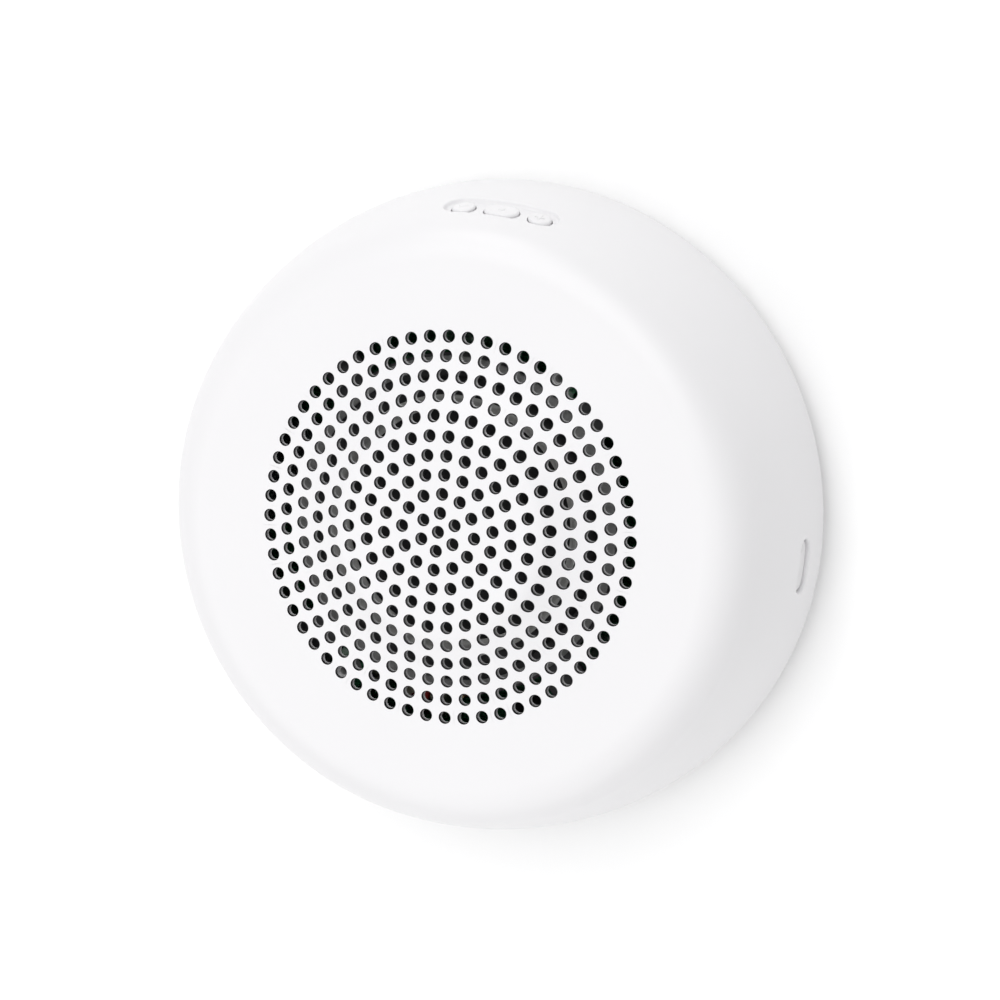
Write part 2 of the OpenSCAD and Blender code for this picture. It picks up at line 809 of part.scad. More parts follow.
module mic_ribbons() {
    path = [[3.4, 26.7], [3.8, 24], [3.9, 20], [4.2, 16], [4.6, 13.4]];
    color("lightgray") for (a = mic_angles)
        arm(mic_r, a) translate([0, 1, 0]) rotate([90, 0, 0]) linear_extrude(2) polygon(strip(path, 0.25));
}

module mic_sockets() {
    color("ivory") for (a = mic_angles)
        arm(mic_r, a) difference() {
            translate([3.2, -2, board_top]) cube([2.8, 4, 2.2]);
            translate([4.2, -1.2, board_top + 0.8]) cube([0.8, 2.4, 2]);
        }
}

top_shell();
base_cover();
foot_ring();
case_screws();
driver_basket();
driver_gasket();
driver_screws();
top_plate();
magnet();
yoke();
coil_former();
voice_coil();
cone();
dust_cap();
surround();
spider();
terminal_board();
terminal_tags();
lead_red();
lead_black();
speaker_plug();
speaker_header();
main_board();
board_screws();
shield_can();
capacitors();
inductor();
amplifier_chip();
power_inlet();
inlet_tongue();
port_cover();
antenna_board();
antenna_cable();
key_minus();
key_action();
key_plus();
switch_board();
switch_bodies();
plunger_minus();
plunger_action();
plunger_plus();
switch_screws();
ribbon();
ribbon_socket();
mic_boots();
mic_boards();
mic_cans();
mic_ribbons();
mic_sockets();
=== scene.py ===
"""Looks of the smart speaker: a white, face-up puck with a ringed grille, side keys and a power inlet.

Lengths in this file are millimetres until a mesh or a light is made, where MM turns them into metres.
"""

import json
import math

import bpy
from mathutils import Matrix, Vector
from mathutils.geometry import delaunay_2d_cdt


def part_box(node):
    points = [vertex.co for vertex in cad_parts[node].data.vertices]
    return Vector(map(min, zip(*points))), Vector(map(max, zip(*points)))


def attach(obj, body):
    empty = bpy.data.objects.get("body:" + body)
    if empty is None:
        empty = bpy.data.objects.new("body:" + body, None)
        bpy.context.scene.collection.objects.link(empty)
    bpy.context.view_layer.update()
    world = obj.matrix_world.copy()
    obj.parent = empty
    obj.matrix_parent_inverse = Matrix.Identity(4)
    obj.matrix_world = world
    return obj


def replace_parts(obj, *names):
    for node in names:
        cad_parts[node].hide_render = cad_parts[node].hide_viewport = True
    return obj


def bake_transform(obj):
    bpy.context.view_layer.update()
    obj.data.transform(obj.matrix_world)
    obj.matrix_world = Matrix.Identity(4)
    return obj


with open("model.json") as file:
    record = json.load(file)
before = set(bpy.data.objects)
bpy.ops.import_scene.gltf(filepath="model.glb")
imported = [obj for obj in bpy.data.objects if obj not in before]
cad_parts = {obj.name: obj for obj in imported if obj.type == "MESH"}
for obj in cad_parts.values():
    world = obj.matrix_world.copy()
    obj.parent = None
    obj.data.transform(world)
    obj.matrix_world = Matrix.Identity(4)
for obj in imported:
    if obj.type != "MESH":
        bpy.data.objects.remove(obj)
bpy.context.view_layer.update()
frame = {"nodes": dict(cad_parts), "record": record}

MM = 0.001
SHELL_LOW, SHELL_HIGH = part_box("top_shell")

# Body section, as the CAD model draws it
BODY_TOP = SHELL_HIGH.z / MM
PARTING_Z = SHELL_LOW.z / MM
BODY_R = 48.9
PLATEAU_RISE = 3.56
SLOPE_R = 30.2
SLOPE_ARC = 33.8
FACE_R = 38.6
EDGE_R = 7.0
SIDE_R = 58.8
BASE_EDGE_R = 4.0
BASE_Z = 0.8
WALL = 2.0
GRILLE = 1.0
CREASE_ROUND = 7.0
BEVEL = 0.1
LIP_BEVEL_R = 0.2
LIP_BEVEL_Z = 0.15

FACE_Z = BODY_TOP - PLATEAU_RISE
EDGE_CZ = FACE_Z - EDGE_R
SIDE_CX = BODY_R - SIDE_R
EDGE_TURN = math.asin((FACE_R - SIDE_CX) / (SIDE_R - EDGE_R))
EDGE_END = math.pi / 2 - EDGE_TURN
SIDE_CZ = EDGE_CZ - (SIDE_R - EDGE_R) * math.cos(EDGE_TURN)
BASE_CZ = BASE_Z + BASE_EDGE_R
BASE_TURN = math.asin((SIDE_CZ - BASE_CZ) / (SIDE_R - BASE_EDGE_R))
BASE_CX = SIDE_CX + (SIDE_R - BASE_EDGE_R) * math.cos(BASE_TURN)
CAVITY_R = SIDE_CX + (SIDE_R - WALL) * math.cos(BASE_TURN)

# Rows of the section: radii on the level land, steps on the arcs, where the side wall begins
LAND_RADII = (33.0, 36.0)
EDGE_STEPS = 20
INNER_EDGE_STEPS = 6
SIDE_STEPS = 28
BASE_STEPS = 5
SIDE_FROM_R = FACE_R + 3

# Sound holes: ring k has 6 k of them
PITCH = 2.8
HOLE_R = 0.825
HOLE_ROUND = 0.12
RINGS = 10
HOLE_SIDES = 32
HOLE_STEPS = 3
CELL_STEPS = 3
CENTRE_POINTS = 24
COLUMNS = 360
TOP_COLUMN = COLUMNS // 4

# Keys and the recess that they sit in
KEY_Z = 23.2
KEY_W = 3.4
KEY_MID_L = 5.2
KEY_SIDE_X = 5.9
KEY_GAP = 0.15
KEY_SINK = 0.25
RECESS_L = 17.6
RECESS_W = 5.4
RECESS_DEPTH = 0.7
KEY_HOLE_ROUND = 0.1

# Slot for the power inlet
PORT_Z = 12.05
PORT_W = 8.0
PORT_H = 3.4
PORT_ROUND = 0.35

# Windows in the side wall for them: (low, high) in height, (first column, columns)
KEY_WINDOW = (20.1, 26.2)
KEY_WINDOW_INSIDE = (20.3, 25.2)
KEY_COLUMNS = (TOP_COLUMN - 13, 26)
PORT_WINDOW = (9.6, 14.5)
PORT_WINDOW_INSIDE = (9.8, 14.3)
PORT_COLUMNS = (COLUMNS - 7, 14)

# Fineness of the outlines, rims and fillings on the side wall
PILL_ARC = 20
PILL_STRAIGHT = 8
RIM_STEPS = 4
LIFT_STEPS = 8
PATCH_STEP = 0.8
PATCH_MARGIN = 0.5


# ---------- mesh helpers ----------

class Builder:
    """Collects vertices, and faces with a normal for each corner."""

    def __init__(self):
        self.points = []
        self.normals = []
        self.faces = []
        self.corner_normals = []
        self.known = {}

    def vert(self, point, normal, key=None):
        """Adds a vertex, or returns the one already made under key."""
        if key is not None and key in self.known:
            return self.known[key]
        self.points.append(Vector(point))
        self.normals.append(Vector(normal).normalized())
        if key is not None:
            self.known[key] = len(self.points) - 1
        return len(self.points) - 1

    def face(self, ids, normals=None):
        """Adds a face; its corners take their vertices' normals unless others are given."""
        self.faces.append(ids)
        self.corner_normals.extend(normals or [self.normals[i] for i in ids])

    def strip(self, a, b, normals_a=None, normals_b=None):
        """Quads between two closed rows of vertices of equal length."""
        n = len(a)
        na = normals_a or [self.normals[k] for k in a]
        nb = normals_b or [self.normals[k] for k in b]
        for i in range(n):
            j = (i + 1) % n
            self.face([a[i], a[j], b[j], b[i]], [na[i], na[j], nb[j], nb[i]])

    def cap(self, ids, normal):
        """One flat polygon over a closed row that runs clockwise seen from the normal's side."""
        self.face(ids[::-1], [Vector(normal).normalized()] * len(ids))

    def build(self, name, mat, body, slot):
        """Makes the object, in metres, and hangs it under its body; body is None for a piece left
        unattached, and slot is not used.
        """
        mesh = bpy.data.meshes.new(name)
        mesh.from_pydata([p * MM for p in self.points], [], self.faces)
        mesh.polygons.foreach_set("use_smooth", [True] * len(mesh.polygons))
        mesh.normals_split_custom_set(self.corner_normals)
        mesh.materials.append(mat)
        piece = bpy.data.objects.new(name, mesh)
        bpy.context.scene.collection.objects.link(piece)
        if body:
            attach(piece, body)
        return piece


def inside(point, loop):
    """Whether a 2D point lies in a closed 2D loop."""
    x, y = point
    hit = False
    for (x1, y1), (x2, y2) in zip(loop, loop[1:] + loop[:1]):
        if (y1 > y) != (y2 > y) and x < (x2 - x1) * (y - y1) / (y2 - y1) + x1:
            hit = not hit
    return hit


def fill(outer, holes, extra=()):
    """Triangles, counter-clockwise, between an outer loop and the holes in it.

    The vertex numbers run through outer, then each hole, then the extra points.
    """
    loops = [outer, *holes]
    coords = [Vector(p) for loop in loops for p in loop] + [Vector(p) for p in extra]
    edges = []
    start = 0
    for loop in loops:
        n = len(loop)
        edges += [(start + i, start + (i + 1) % n) for i in range(n)]
        start += n
    out, _, faces, origins, _, _ = delaunay_2d_cdt(coords, edges, [], 0, 1e-6)
    made = []
    for f in faces:
        a, b, c = (out[i] for i in f)
        middle = (a + b + c) / 3
        if not inside(middle, outer) or any(inside(middle, hole) for hole in holes):
            continue
        ids = [origins[i][0] for i in f]
        turn = (b - a).cross(c - a)
        made.append(ids if turn > 0 else ids[::-1])
    return made


# ---------- body surface ----------

def face_height(r, inset):
    """Height and slope of the face at radius r, on the surface inset below the outside."""
    top = BODY_TOP - inset
    arc = SLOPE_ARC + inset
    centre_z = FACE_Z + SLOPE_ARC
    if r >= SLOPE_R:
        return FACE_Z - inset, 0.0
    crease = SLOPE_R - math.sqrt(arc ** 2 - (centre_z - top) ** 2)
    tilt = math.asin((SLOPE_R - crease) / arc)
    reach = CREASE_ROUND * math.tan(tilt / 2)
    if r <= crease - reach:
        return top, 0.0
    if r < crease + reach * math.cos(tilt):
        d = r - (crease - reach)
        h = math.sqrt(CREASE_ROUND ** 2 - d ** 2)
        return top - CREASE_ROUND + h, -d / h
    h = math.sqrt(arc ** 2 - (SLOPE_R - r) ** 2)
    return centre_z - h, -(SLOPE_R - r) / h


def face_point(r, angle, inset):
    """Point and outward normal on the face; the inner surface's normal points down."""
    z, slope = face_height(r, inset)
    normal = Vector((-slope * math.cos(angle), -slope * math.sin(angle), 1))
    if inset:
        normal = -normal
    return Vector((r * math.cos(angle), r * math.sin(angle), z)), normal


def arc_rows(cx, cz, radius, start, end, steps, sign=1):
    """Section rows (r, z, normal r, normal z) along an arc, after its first point."""
    rows = []
    for i in range(1, steps + 1):
        a = start + (end - start) * i / steps
        c, s = math.cos(a), math.sin(a)
        rows.append((cx + radius * c, cz + radius * s, sign * c, sign * s))
    return rows


def outer_rows():
    """Section of the outside, from the last ring of holes down to the parting line."""
    rows = [(r, *face_row(r)) for r in ((RINGS + 0.5) * PITCH, SLOPE_R, *LAND_RADII, FACE_R)]
    lip_turn = math.asin((PARTING_Z + LIP_BEVEL_Z - BASE_CZ) / BASE_EDGE_R)
    rows += arc_rows(FACE_R, EDGE_CZ, EDGE_R, math.pi / 2, EDGE_END, EDGE_STEPS)
    rows += arc_rows(SIDE_CX, SIDE_CZ, SIDE_R, EDGE_END, -BASE_TURN, SIDE_STEPS)
    rows += arc_rows(BASE_CX, BASE_CZ, BASE_EDGE_R, -BASE_TURN, lip_turn, BASE_STEPS)
    return rows


def face_row(r):
    """Height of the outer face at radius r, and its normal in the section."""
    z, slope = face_height(r, 0)
    n = Vector((-slope, 1)).normalized()
    return z, n.x, n.y


def inner_rows():
    """Section of the lower lip and of the inside, back up to the last ring of holes."""
    r, _, _, _ = outer_rows()[-1]
    rows = [(r - LIP_BEVEL_R, PARTING_Z, 0, -1), (CAVITY_R + BEVEL, PARTING_Z, 0, -1)]
    rows += [(CAVITY_R, PARTING_Z + BEVEL, -1, 0), (CAVITY_R, SIDE_CZ - SIDE_R * math.sin(BASE_TURN), -1, 0)]
    rows += arc_rows(SIDE_CX, SIDE_CZ, SIDE_R - WALL, -BASE_TURN, EDGE_END, SIDE_STEPS, -1)
    rows += arc_rows(FACE_R, EDGE_CZ, EDGE_R - WALL, EDGE_END, math.pi / 2, INNER_EDGE_STEPS, -1)
    rows += [(SLOPE_R + BEVEL, FACE_Z - WALL, 0, -1), (SLOPE_R, FACE_Z - WALL + BEVEL, -1, 0)]
    rows += [(SLOPE_R, FACE_Z - GRILLE - BEVEL, -1, 0), (SLOPE_R - BEVEL, FACE_Z - GRILLE, 0, -1)]
    return rows


class WallFrame:
    """A flat frame on the side wall: x and y lie on the wall, z points straight out of it."""

    def __init__(self, origin, x, y):
        self.o = Vector(origin)
        self.x = Vector(x)
        self.y = Vector(y)
        self.z = self.x.cross(self.y)

    def at(self, x, y, z):
        """The point in space at a place in the frame."""
        return self.o + self.x * x + self.y * y + self.z * z

    def flat(self, point):
        """The x and y in the frame of a point in space."""
        d = Vector(point) - self.o
        return d.dot(self.x), d.dot(self.y)

    def lift(self, x, y, depth):
        """The point over (x, y) on the side wall's surface, depth below the outside."""
        t = 0.0
        for _ in range(LIFT_STEPS):
            p = self.at(x, y, t)
            n = wall_normal(p)
            r = math.hypot(p.x, p.y) - SIDE_CX
            gap = math.hypot(r, p.z - SIDE_CZ) - (SIDE_R - depth)
            t -= gap / n.dot(self.z)
        return self.at(x, y, t)


def wall_normal(p):
    """Outward normal of the side wall nearest to a point."""
    r = math.hypot(p.x, p.y)
    out = (r - SIDE_CX) / r
    return Vector((p.x * out, p.y * out, p.z - SIDE_CZ)).normalized()


KEY_SLOPE = math.asin((KEY_Z - SIDE_CZ) / SIDE_R)
KEY_Y = SIDE_CX + SIDE_R * math.cos(KEY_SLOPE)
KEYS = WallFrame((0, KEY_Y, KEY_Z), (1, 0, 0), (0, math.sin(KEY_SLOPE), -math.cos(KEY_SLOPE)))
PORT_R = SIDE_CX + math.sqrt(SIDE_R ** 2 - (PORT_Z - SIDE_CZ) ** 2)
PORT = WallFrame((PORT_R, 0, PORT_Z), (0, 1, 0), (0, 0, 1))


def pill(length, width, inset, x):
    """Counter-clockwise outline of a pill centred at x, and at each point the direction inwards."""
    radius = width / 2 - inset
    reach = (length - width) / 2
    points, inward = [], []
    for side in (1, -1):
        for i in range(PILL_ARC + 1):
            a = math.pi * (i / PILL_ARC - 0.5)
            c, s = side * math.cos(a), side * math.sin(a)
            points.append((x + side * reach + radius * c, radius * s))
            inward.append((-c, -s))
        if reach > 0:
            for i in range(1, PILL_STRAIGHT):
                points.append((x + side * reach * (1 - 2 * i / PILL_STRAIGHT), side * radius))
                inward.append((0, -side))
    if reach <= 0:
        for made in (points, inward):
            made.pop(PILL_ARC)
            made.pop()
    return points, inward


# ---------- shell ----------

def boundary_count(b):
    """Points on the circle outside ring b, so that the cells on both sides of it meet."""
    if b == RINGS:
        return COLUMNS
    return CENTRE_POINTS if b == 0 else 12 * b * (b + 1)


def boundary_vert(mesh, b, index, inset):
    """A shared vertex on the circle between ring b of holes and the next ring."""
    count = boundary_count(b)
    index %= count
    point, normal = face_point((b + 0.5) * PITCH, math.pi / 2 + 2 * math.pi * index / count, inset)
    return mesh.vert(point, normal, ("ring", b, index, inset > 0))


def cell_outline(mesh, k, i, inset):
    """Vertices round the cell of hole i in ring k, counter-clockwise from its inner right corner."""
    inner_n = boundary_count(k - 1) // (6 * k)
    outer_n = boundary_count(k) // (6 * k)
    first = {b: round(boundary_count(b) * (i - 0.5) / (6 * k)) for b in (k - 1, k)}
    r_in, r_out = (k - 0.5) * PITCH, (k + 0.5) * PITCH

    def side(edge, t):
        angle = math.pi / 2 + 2 * math.pi * (edge - 0.5) / (6 * k)
        point, normal = face_point(r_in + (r_out - r_in) * t / CELL_STEPS, angle, inset)
        return mesh.vert(point, normal, ("side", k, edge % (6 * k), t, inset > 0))

    ids = [side(i, t) for t in range(1, CELL_STEPS)]
    ids += [boundary_vert(mesh, k, first[k] + j, inset) for j in range(outer_n + 1)]
    ids += [side(i + 1, t) for t in range(CELL_STEPS - 1, 0, -1)]
    ids += [boundary_vert(mesh, k - 1, first[k - 1] + j, inset) for j in range(inner_n, -1, -1)]
    return ids


def centre_outline(mesh, inset):
    """Vertices round the middle hole's cell, counter-clockwise."""
    return [boundary_vert(mesh, 0, j, inset) for j in range(boundary_count(0))]


def hole_loop(mesh, cx, cy, radius, depth, lean, inset=0.0):
    """A row round a hole; lean turns its normals from the surface (0) to the hole's axis (1)."""
    ids = []
    for j in range(HOLE_SIDES):
        a = 2 * math.pi * j / HOLE_SIDES
        x, y = cx + radius * math.cos(a), cy + radius * math.sin(a)
        r, angle = math.hypot(x, y), math.atan2(y, x)
        point, normal = face_point(r, angle, inset)
        point.z -= depth
        to_axis = Vector((-math.cos(a), -math.sin(a), 0))
        turn = lean * math.pi / 2
        ids.append(mesh.vert(point, normal.normalized() * math.cos(turn) + to_axis * math.sin(turn)))
    return ids


def sound_hole(mesh, cx, cy):
    """The rounded rim and the bore of one hole; returns its outermost and innermost rows."""
    rows = []
    for s in range(HOLE_STEPS + 1):
        a = s / HOLE_STEPS * math.pi / 2
        radius = HOLE_R + HOLE_ROUND * (1 - math.sin(a))
        rows.append(hole_loop(mesh, cx, cy, radius, HOLE_ROUND * (1 - math.cos(a)), s / HOLE_STEPS))
    for above, below in zip(rows, rows[1:]):
        mesh.strip(below, above)
    wall = [mesh.normals[v] for v in rows[-1]]
    bottom = hole_loop(mesh, cx, cy, HOLE_R, 0, 0, GRILLE)
    mesh.strip(bottom, rows[-1], normals_a=wall)
    return rows[0], bottom


def flat_loop(mesh, ids):
    """A row of vertices as seen from above."""
    return [(mesh.points[v].x, mesh.points[v].y) for v in ids]


def grille(mesh):
    """The face inside the last ring: a cell round every hole, outside and inside alike."""
    cells = [(0, 0, 0.0, 0.0)]
    for k in range(1, RINGS + 1):
        for i in range(6 * k):
            a = math.pi / 2 + 2 * math.pi * i / (6 * k)
            cells.append((k, i, k * PITCH * math.cos(a), k * PITCH * math.sin(a)))
    for k, i, cx, cy in cells:
        top, bottom = sound_hole(mesh, cx, cy)
        for loop, inset in ((top, 0.0), (bottom, GRILLE)):
            outline = cell_outline(mesh, k, i, inset) if k else centre_outline(mesh, inset)
            ids = outline + loop
            for tri in fill(flat_loop(mesh, outline), [flat_loop(mesh, loop)]):
                face = [ids[v] for v in tri]
                mesh.face(face if not inset else face[::-1])


def revolve(mesh, rows, windows, first, last=None):
    """Turns section rows round the axis, leaving the windows (row range, column range) open.

    first and last are rows of vertices that already exist. Returns every row's vertices.
    """
    made = [first]
    for r, z, nr, nz in rows:
        row = []
        for j in range(COLUMNS):
            a = 2 * math.pi * j / COLUMNS
            row.append(mesh.vert((r * math.cos(a), r * math.sin(a), z),
                                 (nr * math.cos(a), nr * math.sin(a), nz)))
        made.append(row)
    if last:
        made.append(last)
    for i in range(len(made) - 1):
        for j in range(COLUMNS):
            open_here = any(
                low <= i < high and (j - start) % COLUMNS < width
                for (low, high), (start, width) in windows)
            if not open_here:
                k = (j + 1) % COLUMNS
                mesh.face([made[i + 1][j], made[i + 1][k], made[i][k], made[i][j]])
    return made


def window_loop(made, rows, columns):
    """The vertices round a window; clockwise seen from outside where the rows run downwards."""
    (low, high), (start, width) = rows, columns
    cols = [(start + j) % COLUMNS for j in range(width + 1)]
    top = [made[low][c] for c in cols]
    right = [made[i][cols[-1]] for i in range(low + 1, high)]
    bottom = [made[high][c] for c in reversed(cols)]
    left = [made[i][cols[0]] for i in range(high - 1, low, -1)]
    return top + right + bottom + left


def rows_spanning(rows, heights, offset=0):
    """Range of row numbers of the side wall that covers the heights (low, high)."""
    low, high = heights
    found = [i + offset for i, (r, z, _, _) in enumerate(rows) if r > SIDE_FROM_R and low < z < high]
    return found[0] - 1, found[-1] + 1


def profile_turns(profile, end_down):
    """The run and drop of the surface at each step of an (inset, depth) profile."""
    turns = []
    for n, (inset, depth) in enumerate(profile):
        before = profile[n - 1] if n else (inset - 1, depth)
        if n + 1 < len(profile):
            after = profile[n + 1]
        else:
            after = (inset, depth + 1) if end_down else (inset + 1, depth)
        turns.append((after[0] - before[0], after[1] - before[1]))
    return turns


def edge_rows(mesh, where, outline, profile, end_down=False):
    """Rows of a rounded edge: (inset, depth below the wall) pairs, in the order they are joined.

    outline(inset) gives a closed 2D outline and its inward directions.
    """
    made = []
    for (inset, depth), (run, drop) in zip(profile, profile_turns(profile, end_down)):
        row = []
        for (px, py), (ix, iy) in zip(*outline(inset)):
            p = where.lift(px, py, depth)
            inward = where.x * ix + where.y * iy
            row.append(mesh.vert(p, inward * drop + wall_normal(p) * run))
        made.append(row)
    return made


def join(mesh, rows, flip=False):
    """Strips between neighbouring rows, with the outermost row first unless flipped."""
    for a, b in zip(rows, rows[1:]):
        mesh.strip(b, a) if flip else mesh.strip(a, b)


def grid_points(outer, holes):
    """Points on a square grid inside outer, clear of it and of the holes."""
    xs, ys = [p[0] for p in outer], [p[1] for p in outer]
    found = []
    y = min(ys) + PATCH_STEP
    while y < max(ys):
        x = min(xs) + PATCH_STEP
        while x < max(xs):
            near = any(math.dist((x, y), q) < PATCH_MARGIN for loop in (outer, *holes) for q in loop)
            if not near and inside((x, y), outer) and not any(inside((x, y), h) for h in holes):
                found.append((x, y))
            x += PATCH_STEP
        y += PATCH_STEP
    return found


def patch(mesh, where, outline, holes, depth, inner=False):
    """Fills the wall between an outline and the holes in it, on the surface at that depth."""
    outer_2d = [where.flat(mesh.points[v]) for v in outline]
    holes_2d = [[where.flat(mesh.points[v]) for v in hole] for hole in holes]
    extra = grid_points(outer_2d, holes_2d)
    ids = list(outline) + [v for hole in holes for v in hole]
    for x, y in extra:
        p = where.lift(x, y, depth)
        n = wall_normal(p)
        ids.append(mesh.vert(p, -n if inner else n))
    side = -1 if inner else 1
    for tri in fill(outer_2d, holes_2d, extra):
        face = [ids[v] for v in tri]
        normals = [side * wall_normal(mesh.points[v]) for v in face]
        mesh.face(face if not inner else face[::-1], normals if not inner else normals[::-1])


def bore(mesh, where, rim, outline):
    """Straight walls from the last row of a rim to the shell's inner surface."""
    bottom = []
    walls = []
    for (px, py), (ix, iy) in zip(*outline(0)):
        p = where.lift(px, py, WALL)
        bottom.append(mesh.vert(p, -wall_normal(p)))
        walls.append(where.x * ix + where.y * iy)
    mesh.strip(rim, bottom, normals_a=walls, normals_b=walls)
    return bottom


def rim_profile(depth, size):
    """A quarter-round rim of that size, starting at a surface depth below the wall."""
    turns = [s / RIM_STEPS * math.pi / 2 for s in range(RIM_STEPS + 1)]
    return [(-size * (1 - math.sin(a)), depth + size * (1 - math.cos(a))) for a in turns]


def pill_outline(length, width, x=0.0):
    """Outline function of a pill centred at x."""
    return lambda inset: pill(length, width, inset, x)


# Centre and length of each key
KEY_SHAPES = {
    "minus": (-KEY_SIDE_X, KEY_W),
    "action": (0, KEY_MID_L),
    "plus": (KEY_SIDE_X, KEY_W),
}
# Profiles are (inset, depth) pairs, from the face inwards and down
RECESS_PROFILE = [(-0.35, 0.0), (-0.2, 0.015), (-0.08, 0.07), (0.0, 0.15), (0.06, 0.28), (0.1, 0.4),
                  (0.15, 0.5), (0.24, 0.6), (0.37, 0.67), (0.52, RECESS_DEPTH)]


def shell_mesh():
    """The white shell: grille, face, side wall and inside, with the key recess and the inlet's slot."""
    mesh = Builder()
    grille(mesh)
    rows = outer_rows()
    key_rows = rows_spanning(rows, KEY_WINDOW)
    port_rows = rows_spanning(rows, PORT_WINDOW)
    first = [boundary_vert(mesh, RINGS, j - TOP_COLUMN, 0.0) for j in range(COLUMNS)]
    made = revolve(mesh, rows[1:], [(key_rows, KEY_COLUMNS), (port_rows, PORT_COLUMNS)], first)

    lower = inner_rows()
    inner_key = rows_spanning(lower, KEY_WINDOW_INSIDE, 1)
    inner_port = rows_spanning(lower, PORT_WINDOW_INSIDE, 1)
    last = [boundary_vert(mesh, RINGS, j - TOP_COLUMN, GRILLE) for j in range(COLUMNS)]
    windows = [(inner_key, KEY_COLUMNS), (inner_port, PORT_COLUMNS)]
    inner = revolve(mesh, lower, windows, made[-1], last)

    # The recess, its floor and the three key holes in it
    edges = edge_rows(mesh, KEYS, pill_outline(RECESS_L, RECESS_W), RECESS_PROFILE)
    join(mesh, edges)
    patch(mesh, KEYS, window_loop(made, key_rows, KEY_COLUMNS), [edges[0]], 0)
    rims, bottoms = [], []
    for x, length in KEY_SHAPES.values():
        hole = pill_outline(length + 2 * KEY_GAP, KEY_W + 2 * KEY_GAP, x)
        rim = edge_rows(mesh, KEYS, hole, rim_profile(RECESS_DEPTH, KEY_HOLE_ROUND), end_down=True)
        join(mesh, rim)
        rims.append(rim[0])
        bottoms.append(bore(mesh, KEYS, rim[-1], hole))
    patch(mesh, KEYS, edges[-1], rims, RECESS_DEPTH)
    patch(mesh, KEYS, window_loop(inner, inner_key, KEY_COLUMNS)[::-1], bottoms, WALL, inner=True)

    # The slot for the power inlet
    slot = pill_outline(PORT_W, PORT_H)
    rim = edge_rows(mesh, PORT, slot, rim_profile(0, PORT_ROUND), end_down=True)
    join(mesh, rim)
    patch(mesh, PORT, window_loop(made, port_rows, PORT_COLUMNS), [rim[0]], 0)
    bottom = bore(mesh, PORT, rim[-1], slot)
    patch(mesh, PORT, window_loop(inner, inner_port, PORT_COLUMNS)[::-1], [bottom], WALL, inner=True)
    return mesh


# ---------- keys and port cover ----------

def sharp_outline(corners):
    """Outline function of a polygon (counter-clockwise corners) that insets along its mitres."""
    n = len(corners)

    def outline(inset):
        points, inward = [], []
        for i, (x, y) in enumerate(corners):
            ax, ay = x - corners[i - 1][0], y - corners[i - 1][1]
            bx, by = corners[(i + 1) % n][0] - x, corners[(i + 1) % n][1] - y
            la, lb = math.hypot(ax, ay), math.hypot(bx, by)
            mx, my = -ay / la - by / lb, ax / la + bx / lb
            size = (mx * mx + my * my) / 2
            points.append((x + inset * mx / size, y + inset * my / size))
            inward.append((mx / math.sqrt(2 * size), my / math.sqrt(2 * size)))
        return points, inward

    return outline


def plus_outline(x, size, width):
    """Outline function of a plus sign centred at x."""
    a, b = size / 2, width / 2
    corners = [(a, -b), (a, b), (b, b), (b, a), (-b, a), (-b, b), (-a, b), (-a, -b), (-b, -b), (-b, -a),
               (b, -a), (b, -b)]
    return sharp_outline([(x + u, v) for u, v in corners])


MARK_SIZE = 1.5
MARK_WIDTH = 0.38
DOT_SIZE = 1.0
MARK_PROFILE = [(-0.05, 0.0), (-0.02, -0.02), (0.0, -0.06), (0.02, -0.1), (0.06, -0.12)]
KEY_EDGE = [(0.42, 0.0), (0.26, 0.02), (0.14, 0.075), (0.05, 0.17), (0.01, 0.28), (0.0, 0.42)]
FLANGE_TOP = -3.0
FLANGE_LOW = -3.6
FLANGE_LIP = 0.6
FLANGE_BEVEL = 0.08
KEY_FOOT = -4.2
KEY_FOOT_R = 0.8


def flat_row(mesh, where, points, z, normals):
    """A row of vertices at one height of a wall frame; normals are in that frame."""
    row = []
    for (px, py), (nx, ny, nz) in zip(points, normals):
        row.append(mesh.vert(where.at(px, py, z), where.x * nx + where.y * ny + where.z * nz))
    return row


def steps_down(mesh, where, outline, steps, start):
    """Joins a row to further rows: (inset, z, outward part, upward part of the normal)."""
    last = start
    for inset, z, out, up in steps:
        points, inward = outline(inset)
        row = flat_row(mesh, where, points, z, [(-ix * out, -iy * out, up) for ix, iy in inward])
        mesh.strip(row, last)
        last = row
    return last


def cap_rows(mesh, where, outline, edge, sink):
    """The rounded edge of a cap that lies sink below the wall, from its face out and down."""
    rows = edge_rows(mesh, where, outline, [(inset, sink + drop) for inset, drop in edge])
    for row, (run, drop) in zip(rows, profile_turns(edge, True)):
        for v, (ix, iy) in zip(row, outline(0)[1]):
            inward = where.x * ix + where.y * iy
            mesh.normals[v] = (wall_normal(mesh.points[v]) * -min(run, 0) - inward * drop).normalized()
    for v in rows[0]:
        mesh.normals[v] = wall_normal(mesh.points[v])
    join(mesh, rows, flip=True)
    return rows


